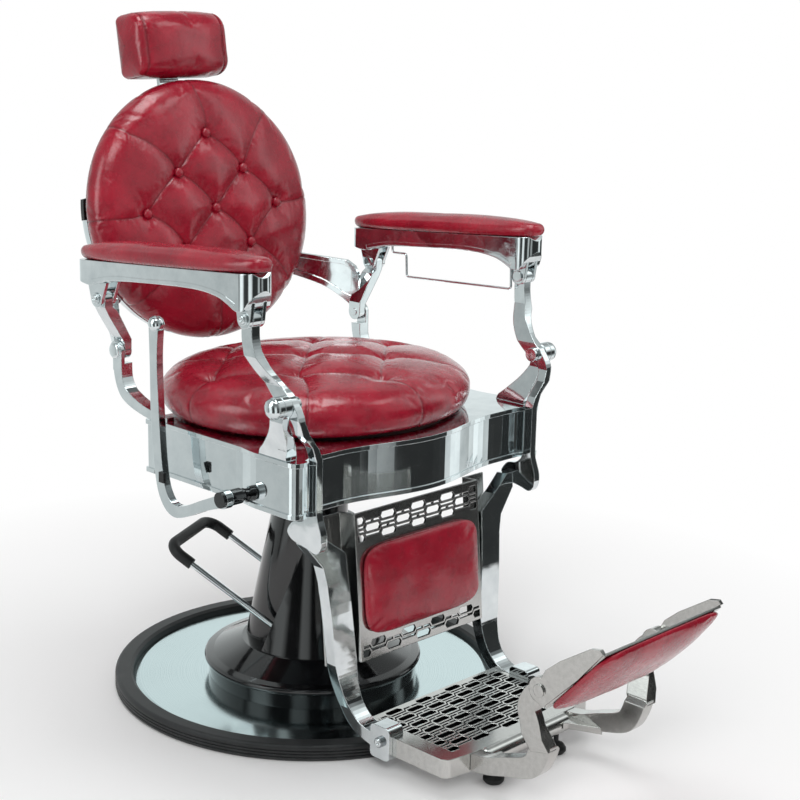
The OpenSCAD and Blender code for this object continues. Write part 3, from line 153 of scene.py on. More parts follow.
# Cast aluminium, tumbled then brushed along its length: bright satin with directional streaks
def castAluminium(name, tint, light, rough, grain, mesh=None):
    material, tree, shader, place = newMaterial(name)
    drawn = addNode(tree, "ShaderNodeMapping", {"Scale": grain}, {"Vector": place})
    streak = addNode(tree, "ShaderNodeTexNoise", {"Scale": 1 / 0.004, "Detail": 4, "Roughness": 0.55},
                     {"Vector": drawn})
    cloud = addNode(tree, "ShaderNodeTexNoise", {"Scale": 1 / 0.08, "Detail": 2}, {"Vector": place})
    share = addNode(tree, "ShaderNodeMapRange", {"From Min": 0.3, "From Max": 0.7}, {"Value": streak})
    base = addNode(tree, "ShaderNodeMix", {"data_type": "RGBA", 6: colour(tint), 7: colour(light)},
                   {0: share})
    bare = addNode(tree, "ShaderNodeMapRange",
                   {"From Min": 0.3, "From Max": 0.7, "To Min": rough, "To Max": rough + 0.04},
                   {"Value": cloud})
    rounded = addNode(tree, "ShaderNodeBevel", {"samples": 6, "Radius": 0.0016})
    surface = addNode(tree, "ShaderNodeBump", {"Strength": 0.04, "Distance": 0.0002},
                      {"Height": streak, "Normal": rounded})
    shader.inputs["Metallic"].default_value = 1.0
    if mesh:  # painted shade: walls inside the openings are darkened to near black and made rougher
        normal = addNode(tree, "ShaderNodeNewGeometry")
        facing = addNode(tree, "ShaderNodeVectorMath", {"operation": "DOT_PRODUCT", 1: mesh["axis"]},
                         {0: normal.outputs["True Normal"]})
        flat = addNode(tree, "ShaderNodeMath", {"operation": "ABSOLUTE"}, {0: facing})
        shadedWall = addNode(tree, "ShaderNodeMath", {"operation": "LESS_THAN", 1: 0.4}, {0: flat})
        apart = addNode(tree, "ShaderNodeSeparateXYZ", links={0: place})
        for axis, centre, half in mesh["within"]:
            moved = addNode(tree, "ShaderNodeMath", {"operation": "SUBTRACT", 1: centre},
                            {0: apart.outputs[axis]})
            size = addNode(tree, "ShaderNodeMath", {"operation": "ABSOLUTE"}, {0: moved})
            inside = addNode(tree, "ShaderNodeMath", {"operation": "LESS_THAN", 1: half}, {0: size})
            shadedWall = addNode(tree, "ShaderNodeMath", {"operation": "MULTIPLY"}, {0: shadedWall, 1: inside})
        # painted shade colour, near black, on the walls of the openings
        base = addNode(tree, "ShaderNodeMix", {"data_type": "RGBA", 7: colour("#121212")}, {0: shadedWall, 6: base})
        dull = addNode(tree, "ShaderNodeMath", {"operation": "MULTIPLY", 1: 0.7}, {0: shadedWall})
        bare = addNode(tree, "ShaderNodeMath", {"operation": "MAXIMUM"}, {0: bare, 1: dull})
    joinUp(tree, shader, base, bare, surface)
    return material


# Spun steel dish: bright metal with fine turning rings about the column
def spunSteel(name):
    material, tree, shader, place = newMaterial(name)
    apart = addNode(tree, "ShaderNodeSeparateXYZ", links={0: place})
    level = addNode(tree, "ShaderNodeCombineXYZ", links={0: apart.outputs[0], 1: apart.outputs[1]})
    radius = addNode(tree, "ShaderNodeVectorMath", {"operation": "LENGTH"}, {0: level})
    rings = addNode(tree, "ShaderNodeTexNoise", {"noise_dimensions": "1D", "Scale": 1 / 0.0009, "Detail": 2},
                    {"W": radius})
    cloud = addNode(tree, "ShaderNodeTexNoise", {"Scale": 1 / 0.09, "Detail": 3, "Roughness": 0.6},
                    {"Vector": place})
    share = addNode(tree, "ShaderNodeMapRange", {"From Min": 0.3, "From Max": 0.7}, {"Value": rings})
    base = addNode(tree, "ShaderNodeMix", {"data_type": "RGBA", 6: colour("#BACACC"), 7: colour("#CEDCDD")},
                   {0: share})
    polish = addNode(tree, "ShaderNodeMapRange",
                     {"From Min": 0.3, "From Max": 0.7, "To Min": 0.10, "To Max": 0.18},
                     {"Value": cloud})
    rounded = addNode(tree, "ShaderNodeBevel", {"samples": 6, "Radius": 0.001})
    surface = addNode(tree, "ShaderNodeBump", {"Strength": 0.03, "Distance": 0.0001},
                      {"Height": rings, "Normal": rounded})
    shader.inputs["Metallic"].default_value = 1.0
    joinUp(tree, shader, base, polish, surface)
    return material


# Machined steel: dull grey, light tool marks
def machinedSteel(name):
    material, tree, shader, place = newMaterial(name)
    drawn = addNode(tree, "ShaderNodeMapping", {"Scale": (1, 1, 6)}, {"Vector": place})
    marks = addNode(tree, "ShaderNodeTexNoise", {"Scale": 1 / 0.004, "Detail": 5, "Roughness": 0.6},
                    {"Vector": drawn})
    share = addNode(tree, "ShaderNodeMapRange", {"From Min": 0.3, "From Max": 0.7}, {"Value": marks})
    base = addNode(tree, "ShaderNodeMix", {"data_type": "RGBA", 6: colour("#8A8D90"), 7: colour("#A9ADAF")},
                   {0: share})
    cut = addNode(tree, "ShaderNodeMapRange",
                  {"From Min": 0.3, "From Max": 0.7, "To Min": 0.3, "To Max": 0.45},
                  {"Value": marks})
    rounded = addNode(tree, "ShaderNodeBevel", {"samples": 6, "Radius": 0.0008})
    surface = addNode(tree, "ShaderNodeBump", {"Strength": 0.1, "Distance": 0.0004},
                      {"Height": marks, "Normal": rounded})
    shader.inputs["Metallic"].default_value = 1.0
    joinUp(tree, shader, base, cut, surface)
    return material


# Wet-look enamel on pressed covers: near black, orange peel of about 5 mm, hard gloss
def glossEnamel(name):
    material, tree, shader, place = newMaterial(name)
    peel = addNode(tree, "ShaderNodeTexNoise", {"Scale": 1 / 0.005, "Detail": 1.5, "Roughness": 0.4},
                   {"Vector": place})
    dust = addNode(tree, "ShaderNodeTexNoise", {"Scale": 1 / 0.03, "Detail": 6, "Roughness": 0.7},
                   {"Vector": place})
    share = addNode(tree, "ShaderNodeMapRange", {"From Min": 0.5, "From Max": 0.8}, {"Value": dust})
    base = addNode(tree, "ShaderNodeMix", {"data_type": "RGBA", 6: colour("#08080A"), 7: colour("#141416")},
                   {0: share})
    dusty = addNode(tree, "ShaderNodeMapRange",
                    {"From Min": 0.4, "From Max": 0.8, "To Min": 0.10, "To Max": 0.18},
                    {"Value": dust})
    rounded = addNode(tree, "ShaderNodeBevel", {"samples": 6, "Radius": 0.0015})
    surface = addNode(tree, "ShaderNodeBump", {"Strength": 0.05, "Distance": 0.0004},
                      {"Height": peel, "Normal": rounded})
    joinUp(tree, shader, base, dusty, surface)
    shader.inputs["Coat Weight"].default_value = 0.6
    shader.inputs["Coat Roughness"].default_value = 0.05
    return material


# Moulded rubber: charcoal, slightly dusty, fine mould texture
def mouldedRubber(name, dark, dusty, rough):
    material, tree, shader, place = newMaterial(name)
    dust = addNode(tree, "ShaderNodeTexNoise", {"Scale": 1 / 0.04, "Detail": 6, "Roughness": 0.7},
                   {"Vector": place})
    pores = addNode(tree, "ShaderNodeTexNoise", {"Scale": 1 / 0.0012, "Detail": 2}, {"Vector": place})
    share = addNode(tree, "ShaderNodeMapRange", {"From Min": 0.45, "From Max": 0.75}, {"Value": dust})
    base = addNode(tree, "ShaderNodeMix", {"data_type": "RGBA", 6: colour(dark), 7: colour(dusty)},
                   {0: share})
    matt = addNode(tree, "ShaderNodeMapRange",
                   {"From Min": 0.3, "From Max": 0.7, "To Min": rough, "To Max": rough + 0.14},
                   {"Value": dust})
    rounded = addNode(tree, "ShaderNodeBevel", {"samples": 6, "Radius": 0.0008})
    surface = addNode(tree, "ShaderNodeBump", {"Strength": 0.25, "Distance": 0.0003},
                      {"Height": pores, "Normal": rounded})
    joinUp(tree, shader, base, matt, surface)
    return material


# Plywood boards, stained and cut across the plies
def stainedPly(name):
    material, tree, shader, place = newMaterial(name)
    drawn = addNode(tree, "ShaderNodeMapping", {"Scale": (0.15, 1, 1)}, {"Vector": place})
    grain = addNode(tree, "ShaderNodeTexNoise", {"Scale": 1 / 0.008, "Detail": 5, "Roughness": 0.6},
                    {"Vector": drawn})
    share = addNode(tree, "ShaderNodeMapRange", {"From Min": 0.3, "From Max": 0.7}, {"Value": grain})
    base = addNode(tree, "ShaderNodeMix", {"data_type": "RGBA", 6: colour("#2A1512"), 7: colour("#43231C")},
                   {0: share})
    pored = addNode(tree, "ShaderNodeMapRange",
                    {"From Min": 0.3, "From Max": 0.7, "To Min": 0.55, "To Max": 0.75},
                    {"Value": grain})
    surface = addNode(tree, "ShaderNodeBump", {"Strength": 0.2, "Distance": 0.0005}, {"Height": grain})
    joinUp(tree, shader, base, pored, surface)
    return material


redLeather = upholstery("redUpholsteryLeather", "#520512", "#8A0A22", "#A8152E")
padLeather = upholstery("redArmPadLeather", "#580714", "#8E1026", "#AC1E32")
chrome = chromePlate("polishedChromePlate", "#DCE2E4", 0.035, 0.05)
castChrome = chromePlate("castChromePlate", "#D6DCDE", 0.05, 0.16, 0.0018)
satin = castAluminium("satinCastAluminium", "#B6B5B2", "#C6C5C2", 0.17, (8, 0.5, 0.5))
# slotted grids whose opening walls get painted shade: the facing axis and the box the openings lie in
footSlotShade = dict(axis=(0, 0, 1), within=[(0, 0.0, 0.139), (1, -0.372, 0.088), (2, 0.050, 0.0098)])
panelSlotShade = dict(axis=(0, 0.996, -0.09), within=[(0, 0.0, 0.1335), (1, -0.26, 0.08), (2, 0.257, 0.113)])
footSatin = castAluminium("satinCastFootMesh", "#C2C1BE", "#D2D1CE", 0.16, (8, 0.5, 0.5), footSlotShade)
panelSatin = castAluminium("brushedCastPanelMesh", "#BEBDBB", "#CECDCB", 0.17, (0.4, 0.4, 9), panelSlotShade)
dishSteel = spunSteel("spunSteelDish")
steel = machinedSteel("machinedSteel")
enamel = glossEnamel("glossBlackEnamel")
ringRubber = mouldedRubber("ribbedRingRubber", "#1B1C1D", "#303132", 0.42)
gripRubber = mouldedRubber("sleeveRubber", "#101112", "#1C1D1E", 0.45)
blackPlastic = mouldedRubber("mouldedBlackPlastic", "#0C0C0D", "#161617", 0.3)
ply = stainedPly("stainedPly")
print("finishes made:", len(bpy.data.materials))


# Meshes: a piece is made in millimetres in its own frame and placed in its vertices

def placed(x=0.0, y=0.0, z=0.0, tilt=0.0):
    turned = Matrix.Rotation(math.radians(tilt), 4, "X")
    return Matrix.Translation((x * mm, y * mm, z * mm)) @ turned @ Matrix.Scale(mm, 4)


def makePiece(name, points, faces, matrix, material, merge=0.02, values=None):
    mesh = bpy.data.meshes.new(name)
    mesh.from_pydata([tuple(p) for p in points], [], [tuple(f) for f in faces])
    for key, data in (values or {}).items():
        mesh.attributes.new(key, "FLOAT", "POINT").data.foreach_set("value", np.asarray(data, np.float32))
    work = bmesh.new()
    work.from_mesh(mesh)
    bmesh.ops.remove_doubles(work, verts=work.verts, dist=merge)
    bmesh.ops.recalc_face_normals(work, faces=work.faces)
    work.to_mesh(mesh)
    work.free()
    mesh.transform(matrix)
    mesh.shade_smooth()
    mesh.materials.append(material)
    piece = bpy.data.objects.new(name, mesh)
    bpy.context.scene.collection.objects.link(piece)
    return piece


def gridFaces(rows, columns, start=0, wrap=False):
    faces = []
    for r in range(rows - 1):
        for c in range(columns if wrap else columns - 1):
            d = (c + 1) % columns
            a = start + r * columns
            faces.append((a + c, a + d, a + columns + d, a + columns + c))
    return faces


def eased(count, share=0.55):  # closer together at both ends
    t = np.linspace(0, 1, count + 1)
    return (1 - share) * t + share * (0.5 - 0.5 * np.cos(np.pi * t))


def bowed(a, b, bow, count):
    a, b = np.array(a, float), np.array(b, float)
    side = np.array([a[1] - b[1], b[0] - a[0]]) / np.linalg.norm(b - a)
    middle = (a + b) / 2 + side * bow * 2
    t = eased(count)[:, None]
    return (1 - t) ** 2 * a + 2 * t * (1 - t) * middle + t ** 2 * b


def coons(low, high, left, right, u, v):
    u, v = u[None, :, None], v[:, None, None]
    edges = (1 - v) * low[None] + v * high[None] + (1 - u) * left[:, None] + u * right[:, None]
    corners = (1 - u) * (1 - v) * low[0] + u * (1 - v) * low[-1] + (1 - u) * v * high[0] + u * v * high[-1]
    return edges - corners


def lineDistance(points, line):  # distance and share along a bent line
    best = np.full(len(points), 1e9)
    along = np.zeros(len(points))
    total = len(line) - 1
    for i in range(total):
        a, d = line[i], line[i + 1] - line[i]
        t = np.clip(((points - a) @ d) / max(d @ d, 1e-12), 0, 1)
        gap = np.linalg.norm(points - a - t[:, None] * d, axis=1)
        near = gap < best
        best[near] = gap[near]
        along[near] = (i + t[near]) / total
    return best, along


def waves(points, size, seed, count=14):  # seeded soft unevenness, about -1 to 1
    chance = np.random.default_rng(seed)
    value = np.zeros(len(points))
    for _ in range(count):
        way = chance.normal(size=points.shape[1])
        way *= 2 * np.pi / size * chance.uniform(0.6, 1.5) / np.linalg.norm(way)
        value += np.sin(points @ way + chance.uniform(0, 6.28))
    return value / math.sqrt(count)


# Buttoned cushion: nine pulls in a diamond, four full diamonds inside and eight fields out to the rim

pulls = [(0, 2), (-1, 1), (1, 1), (-2, 0), (0, 0), (2, 0), (-1, -1), (1, -1), (0, -2)]
folds = [(0, 1), (0, 2), (1, 3), (1, 4), (2, 4), (2, 5), (3, 6), (4, 6), (4, 7), (5, 7), (6, 8), (7, 8)]
diamonds = [(4, 2, 1, 0), (6, 4, 3, 1), (7, 5, 4, 2), (8, 7, 6, 4)]
outer = [5, 2, 0, 1, 3, 6, 8, 7]


def buttonedCushion(spec, matrix, material):
    rx, ry, thick = spec["rx"], spec["ry"], spec["thick"]
    heads = [np.array([p[0] * spec["pitch"][0], p[1] * spec["pitch"][1] + spec["shift"]], float)
             for p in pulls]
    cells, ringCells = spec["cells"], spec["ringCells"]
    bows = dict(zip(folds, spec["bows"]))

    def fold(i, j):
        if (i, j) in bows:
            return bowed(heads[i], heads[j], bows[(i, j)], cells)
        return fold(j, i)[::-1]

    def side(share):  # 0 at the crown's edge, 1 at the bottom: inset and height
        a = math.radians(spec["turn"] + (-90 - spec["turn"]) * share)
        low = a < 0
        return ((spec["tuck"] if low else spec["roll"]) * (1 - math.cos(a)),
                spec["waist"] + (spec["waist"] if low else thick - spec["waist"]) * math.sin(a))

    inset, rimHeight = side(0)
    crown = thick + spec["crown"] - rimHeight
    ease = eased(cells)
    plan, fields = [], []

    def addField(grid):
        fields.append((sum(len(p) for p in plan), grid.shape[0], grid.shape[1]))
        plan.append(grid.reshape(-1, grid.shape[2]))

    for a, b, c, d in diamonds:
        grid = coons(fold(a, b), fold(c, d), fold(a, c), fold(b, d), ease, ease)
        addField(np.concatenate([grid, np.full((*grid.shape[:2], 1), unlifted)], axis=2))
    angles = [math.radians(v) for v in spec["seams"]]
    rims = [np.array([(rx - inset) * math.cos(a), (ry - inset) * math.sin(a)]) for a in angles]
    seamLines = [bowed(heads[outer[k]], rims[k], spec["seamBows"][k], ringCells) for k in range(8)]
    sideRows = [side(i / spec["sideCells"]) for i in range(spec["sideCells"] + 1)]
    for k in range(8):
        n = (k + 1) % 8
        first, last = angles[k], angles[n] + (2 * math.pi if n == 0 else 0)
        turn = first + (last - first) * ease
        arc = np.stack([(rx - inset) * np.cos(turn), (ry - inset) * np.sin(turn)], axis=1)
        left = bowed(heads[outer[k]], rims[k], spec["seamBows"][k], ringCells)
        right = bowed(heads[outer[n]], rims[n], spec["seamBows"][n], ringCells)
        t = eased(ringCells)
        grid = coons(fold(outer[k], outer[n]), arc, left, right, ease, t)
        grid = np.concatenate([grid, np.full((*grid.shape[:2], 1), unlifted)], axis=2)
        rows = []
        for drawn, high in sideRows[1:]:
            near = np.minimum(ease, 1 - ease) * (last - first) * (rx + ry) / 2
            bulge = spec["bulge"] * np.sin(np.pi * ease) * math.sin(math.pi * min(1, high / thick))
            g = drawn + spec["groove"] * np.exp(-near / 1.6) - bulge
            rows.append(np.column_stack([(rx - g) * np.cos(turn), (ry - g) * np.sin(turn),
                                         np.full(len(turn), high)]))
        g = sideRows[-1][0]
        for share in (0.72, 0.38, 0.0):  # the base, a hair below the last row of the side
            rows.append(np.column_stack([(rx - g) * np.cos(turn) * share, (ry - g) * np.sin(turn) * share,
                                         np.full(len(turn), -0.001)]))
        addField(np.concatenate([grid, np.array(rows)], axis=0))
    points = np.concatenate(plan)
    flat = points[:, :2]
    top = points[:, 2] == unlifted
    reach = np.linalg.norm(flat / np.array([rx - inset, ry - inset]), axis=1)
    pit = np.full(len(flat), 1e9)
    bearing = np.zeros(len(flat))
    for p in heads:
        gap = np.linalg.norm(flat - p, axis=1)
        near = gap < pit
        pit[near] = gap[near]
        bearing[near] = np.arctan2(flat[near, 1] - p[1], flat[near, 0] - p[0])
    valley, sharp, seam = np.zeros(len(flat)), np.zeros(len(flat)), np.full(len(flat), 40.0)
    for i, j in folds:
        gap, along = lineDistance(flat, fold(i, j))
        deep = spec["fold"] * (spec["foldMiddle"] + (1 - spec["foldMiddle"]) * np.abs(2 * along - 1) ** 1.7)
        valley = np.maximum(valley, deep * np.exp(-(gap / spec["foldWide"]) ** 1.35))
        sharp = np.maximum(sharp, spec["crease"] * np.exp(-gap / 2.2))
        seam = np.minimum(seam, gap)
    for k in range(8):
        gap, along = lineDistance(flat, seamLines[k])
        deep = spec["fold"] * (1 - along) ** 1.6 * 0.8 + 0.5
        valley = np.maximum(valley, deep * np.exp(-(gap / (spec["foldWide"] * 0.8)) ** 1.35))
        sharp = np.maximum(sharp, spec["crease"] * (0.35 + 0.65 * (1 - along)) * np.exp(-gap / 2.0))
        seam = np.minimum(seam, gap)
    dip = spec["pit"] * np.exp(-(pit / spec["pitWide"]) ** 1.25)
    ripple = spec["pucker"] * np.cos(8 * bearing + waves(flat, 60, 5) * 1.5)
    ripple *= np.exp(-(pit / 20) ** 2) * np.clip(pit / 8, 0, 1)
    sunk = (valley ** 3 + dip ** 3) ** (1 / 3) + sharp
    lift = spec["lift"] * (1 - np.exp(-(seam / 26) ** 2)) * (1 - np.clip(reach, 0, 1) ** 2) ** 2
    uneven = 0.8 * waves(flat, 110, spec["seed"]) * np.clip(1 - reach, 0, 1)
    height = rimHeight + crown * (1 - np.clip(reach, 0, 1) ** 3) + lift - sunk + ripple + uneven
    points[top, 2] = height[top]
    for start, rows, columns in fields[4:]:  # side seams keep their distance as well
        along = np.tile(np.minimum(ease, 1 - ease), rows) * 2 * math.pi * (rx + ry) / 2 / 8
        block = slice(start, start + rows * columns)
        low = ~top[block]
        seam[block][low] = along[low]
    faces = [f for start, rows, columns in fields for f in gridFaces(rows, columns, start)]
    # the seam distances steer the leather's painted crease shade and hold the cloth run along the seams
    piece = makePiece(spec["name"], points, faces, matrix, material, 0.02, {"seam": seam})

    def crownAt(p):
        share = min(1, np.linalg.norm(np.array(p) / (rx - inset, ry - inset)))
        return rimHeight + crown * (1 - share ** 3)

    return piece, heads, crownAt


backPlace = placed(0, 290, 762, 80)
seatCushion = dict(name="seatCushion", rx=258, ry=238, thick=67, crown=11, roll=58, tuck=18, waist=30,
                   turn=76, pitch=(97, 88), shift=30, cells=46, ringCells=44, sideCells=26, bulge=1.6,
                   groove=1.5, fold=8, foldMiddle=0.5, foldWide=20, crease=1.3, pit=17, pitWide=16,
                   pucker=0.8, lift=6.0, seed=3, bows=[3, -4, 5, -3, 4, -5, 3, 4, -3, -4, 5, -3],
                   seams=[2, 47, 90, 133, 178, 226, 270, 314], seamBows=[5, -4, 3, 5, -6, 4, -3, 4])
backCushion = dict(name="backCushion", rx=228, ry=218, thick=62, crown=18, roll=32, tuck=32, waist=31,
                   turn=75, pitch=(69.5, 63), shift=0, cells=44, ringCells=46, sideCells=26, bulge=1.2,
                   groove=1.3, fold=9, foldMiddle=0.5, foldWide=17, crease=1.4, pit=13, pitWide=17,
                   pucker=0.6, lift=6.0, seed=8, bows=[-5, 4, -6, 4, -4, 5, 6, -3, 4, -5, -6, 5],
                   seams=[1, 50, 92, 138, 181, 222, 268, 318], seamBows=[-3, 6, -4, -9, 3, 5, -4, 6])

seatPlace, cushionPlace = placed(0, -5, 479.3), backPlace @ Matrix.Translation((0, 0, -31))
seat, _, _ = buttonedCushion(seatCushion, seatPlace, redLeather)
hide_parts("seat_cushion")
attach(seat, "seat")
back, backPulls, backHeight = buttonedCushion(backCushion, cushionPlace, redLeather)
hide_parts("back_cushion")
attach(back, "back")
print("buttoned cushions:", len(seat.data.polygons), "and", len(back.data.polygons), "faces")


# Repeated small things: one template set on points that say which way they face and run

def lathe(profile, turns=32):
    points = [(r * math.cos(2 * math.pi * k / turns), r * math.sin(2 * math.pi * k / turns), z)
              for r, z in profile for k in range(turns)]
    return points, gridFaces(len(profile), turns, 0, True)


def repeatTree():
    tree = bpy.data.node_groups.new("setOnPoints", "GeometryNodeTree")
    tree.interface.new_socket("Points", in_out="INPUT", socket_type="NodeSocketGeometry")
    inputs = {"Template": "NodeSocketObject", "Size": "NodeSocketFloat", "Finish": "NodeSocketMaterial"}
    sockets = {name: tree.interface.new_socket(name, in_out="INPUT", socket_type=kind).identifier
               for name, kind in inputs.items()}
    tree.interface.new_socket("Pieces", in_out="OUTPUT", socket_type="NodeSocketGeometry")
    given = addNode(tree, "NodeGroupInput")
    facing = addNode(tree, "GeometryNodeInputNamedAttribute", {"data_type": "FLOAT_VECTOR", "Name": "facing"})
    along = addNode(tree, "GeometryNodeInputNamedAttribute", {"data_type": "FLOAT_VECTOR", "Name": "along"})
    turn = addNode(tree, "FunctionNodeAxesToRotation", {"primary_axis": "Z", "secondary_axis": "X"},
                   {0: facing, 1: along})
    shape = addNode(tree, "GeometryNodeObjectInfo", links={"Object": given.outputs["Template"]})
    dots = addNode(tree, "GeometryNodeMeshToPoints", links={"Mesh": given.outputs["Points"]})
    copies = addNode(tree, "GeometryNodeInstanceOnPoints", links={
        "Points": dots, "Instance": shape.outputs["Geometry"], "Rotation": turn,
        "Scale": given.outputs["Size"]})
    real = addNode(tree, "GeometryNodeRealizeInstances", links={0: copies})
    done = addNode(tree, "GeometryNodeSetMaterial",
                   links={"Geometry": real, "Material": given.outputs["Finish"]})
    addNode(tree, "NodeGroupOutput", links={0: done})
    return tree, sockets


setOnPoints, repeatSockets = repeatTree()


def repeated(name, template, places, facings, alongs, material, size=1.0):
    mesh = bpy.data.meshes.new(name)
    mesh.from_pydata([tuple(p) for p in places], [], [])
    for key, data in (("facing", facings), ("along", alongs)):
        layer = mesh.attributes.new(key, "FLOAT_VECTOR", "POINT")
        layer.data.foreach_set("vector", np.array(data, np.float32).ravel())
    carrier = bpy.data.objects.new(name + "Points", mesh)
    bpy.context.scene.collection.objects.link(carrier)
    modifier = carrier.modifiers.new("setOnPoints", "NODES")
    modifier.node_group = setOnPoints
    modifier[repeatSockets["Template"]] = template
    modifier[repeatSockets["Size"]] = size
    modifier[repeatSockets["Finish"]] = material
    bpy.context.view_layer.update()
    baked = bpy.data.meshes.new_from_object(carrier.evaluated_get(bpy.context.evaluated_depsgraph_get()))
    bpy.data.objects.remove(carrier)
    baked.shade_smooth()
    piece = bpy.data.objects.new(name, baked)
    bpy.context.scene.collection.objects.link(piece)
    return piece


def template(name, profile, turns=28):
    points, faces = lathe(profile, turns)
    # seam set far off, so no painted crease shade falls on the template
    return makePiece(name, points, faces, Matrix.Scale(mm, 4), redLeather, 0.02,
                     {"seam": [30.0] * len(points)})


# Covered buttons in the pulls of the back

buttonCap = dict(radius=8.4, dome=6.8, base=-3.0, sunk=9.0)
r, top = buttonCap["radius"], buttonCap["dome"]
cap = template("buttonCap", [(0.01, buttonCap["base"]), (r - 0.6, buttonCap["base"]), (r, 0), (r, 1.6),
                             (r * 0.93, 3.4), (r * 0.76, top * 0.75), (r * 0.5, top * 0.92),
                             (r * 0.25, top * 0.985), (0.01, top)])
faceOfBack = backPlace.to_3x3().normalized()
places = [backPlace @ Vector((p[0], p[1], backHeight(p) - 31 - buttonCap["sunk"])) for p in backPulls]
count = len(places)
outwards = faceOfBack @ Vector((0, 0, 1))
buttons = repeated("coveredButtons", cap, places, [outwards] * count, [(1, 0, 0)] * count, redLeather)
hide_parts("back_buttons")
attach(buttons, "back")
bpy.data.objects.remove(cap)


# Screw heads with a round socket on the ends of the pins

screwHead = dict(radius=6.2, height=2.0, socket=2.6, depth=1.2)
r, h, q = screwHead["radius"], screwHead["height"], screwHead["socket"]
head = template("screwHead", [(r, -0.6), (r, h * 0.45), (r * 0.93, h * 0.8), (r * 0.78, h), (q + 0.5, h),
                              (q, h - 0.3), (q, h - screwHead["depth"]),
                              (0.01, h - screwHead["depth"] - 0.2)], 24)
for name, body, ends in (("backScrews", "back", ["rear_arm_pins"]),
                         ("legScrews", "leg_rest", ["front_arm_pins", "foot_bolts"])):
    places, facings = [], []
    for node in ends:
        low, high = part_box(node)
        for side, x in ((-1, low.x), (1, high.x)):
            places.append((x + side * 0.0002, (low.y + high.y) / 2, (low.z + high.z) / 2))
            facings.append((side, 0, 0))
    screws = repeated(name, head, places, facings, [(0, 0.5, 0.86)] * len(places), castChrome)
    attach(screws, body)
bpy.data.objects.remove(head)
print("buttons and screws set on their points")


# Leather blown out by its foam: a short cloth run with the sewn lines and the base held still

def pulledTight(piece, held, cap, pressure=4.0, spare=0.003, frames=16):  # cap in metres
    group = piece.vertex_groups.new(name="held")
    group.add([int(i) for i in held], 1.0, "REPLACE")
    before = np.empty(len(piece.data.vertices) * 3)
    piece.data.vertices.foreach_get("co", before)
    cloth = piece.modifiers.new("cloth", "CLOTH")
    cloth.settings.quality = 4
    cloth.settings.mass = 0.25
    cloth.settings.use_pressure = True
    cloth.settings.uniform_pressure_force = pressure
    cloth.settings.shrink_min = -spare
    cloth.settings.effector_weights.gravity = 0
    cloth.settings.vertex_group_mass = "held"
    cloth.collision_settings.use_collision = False
    for step in range(1, frames + 1):
        bpy.context.scene.frame_set(step)
    shaped = piece.evaluated_get(bpy.context.evaluated_depsgraph_get()).data
    after = np.empty(len(before))
    shaped.vertices.foreach_get("co", after)
    move = np.nan_to_num((after - before).reshape(-1, 3))
    length = np.linalg.norm(move, axis=1, keepdims=True)
    move *= cap * np.tanh(length / cap) / np.maximum(length, 1e-9)
    piece.modifiers.remove(cloth)
    piece.vertex_groups.remove(group)
    bpy.context.scene.frame_set(1)
    piece.data.vertices.foreach_set("co", (before.reshape(-1, 3) + move).ravel())
    piece.data.update()
    print(piece.name, "settled, at most %.1f mm" % (np.linalg.norm(move, axis=1).max() * 1000))


cushionCloth = dict(sewn=1.5, base=12, cap=0.005, frames=14)  # sewn and base in millimetres
for piece, place, spare in ((seat, seatPlace, 0.003), (back, cushionPlace, 0.006)):
    own = place.inverted()
    seams = piece.data.attributes["seam"].data
    held = [v.index for v in piece.data.vertices
            if seams[v.index].value < cushionCloth["sewn"] or (own @ v.co).z < cushionCloth["base"]]
    pulledTight(piece, held, cushionCloth["cap"], spare=spare, frames=cushionCloth["frames"])


# Plain pads: outline as a soft rectangle, rolled side, crowned face

def outline(rx, ry, power, count):
    t = np.linspace(0, 2 * math.pi, 2400, endpoint=False)
    x = rx * np.sign(np.cos(t)) * np.abs(np.cos(t)) ** (2 / power)
    y = ry * np.sign(np.sin(t)) * np.abs(np.sin(t)) ** (2 / power)
    step = np.hypot(np.diff(x, append=x[0]), np.diff(y, append=y[0]))
    run = np.concatenate([[0], np.cumsum(step)])
    at = np.linspace(0, run[-1], count, endpoint=False)
    return np.stack([np.interp(at, run, np.append(x, x[0])), np.interp(at, run, np.append(y, y[0]))], axis=1)


def plainPad(spec, matrix, material):
    rx, ry, power, count = spec["rx"], spec["ry"], spec["power"], spec["count"]
    rows, seam = [], []
    sideSteps = spec["sideCells"]
    for i in range(sideSteps + 1):
        a = math.radians(-90 + (90 + spec["turn"]) * i / sideSteps)
        inset = spec["roll"] * (1 - math.cos(a))
        z = spec["thick"] * (1 + math.sin(a)) / 2
        rim = outline(rx - inset, ry - inset, power, count)
        rows.append(np.column_stack([rim, np.full(count, z)]))
    inset, rimHeight = spec["roll"] * (1 - math.cos(math.radians(spec["turn"]))), rows[-1][0, 2]
    crown = spec["thick"] + spec["crown"] - rimHeight
    for f in np.linspace(1, 0, spec["topCells"] + 1)[1:-1]:
        rim = f * outline(rx - inset, ry - inset, 2 + (power - 2) * f, count)
        lift = (1 - (np.abs(rim[:, 0]) / (rx - inset)) ** 3) * (1 - (np.abs(rim[:, 1]) / (ry - inset)) ** 3)
        rows.append(np.column_stack([rim, rimHeight + crown * lift]))
    points = np.concatenate(rows + [np.array([(0, 0, rimHeight + crown), (0, 0, 0)])])
    points[:, 2] += 0.5 * waves(points[:, :2], 90, spec["seed"]) * (points[:, 2] > spec["thick"] * 0.5)
    faces = gridFaces(len(rows), count, 0, True)
    last = (len(rows) - 1) * count
    high, low = len(points) - 2, len(points) - 1
    faces += [(last + k, last + (k + 1) % count, high) for k in range(count)]
    faces += [((k + 1) % count, k, low) for k in range(count)]
    flat = (points[:, 2] < 0.25 * spec["thick"]).astype(float)
    # seam set far off, so no painted crease shade falls on the pad
    values = {"seam": np.full(len(points), 40.0), "flat": flat}
    return makePiece(spec["name"], points, faces, matrix, material, 0.001, values)


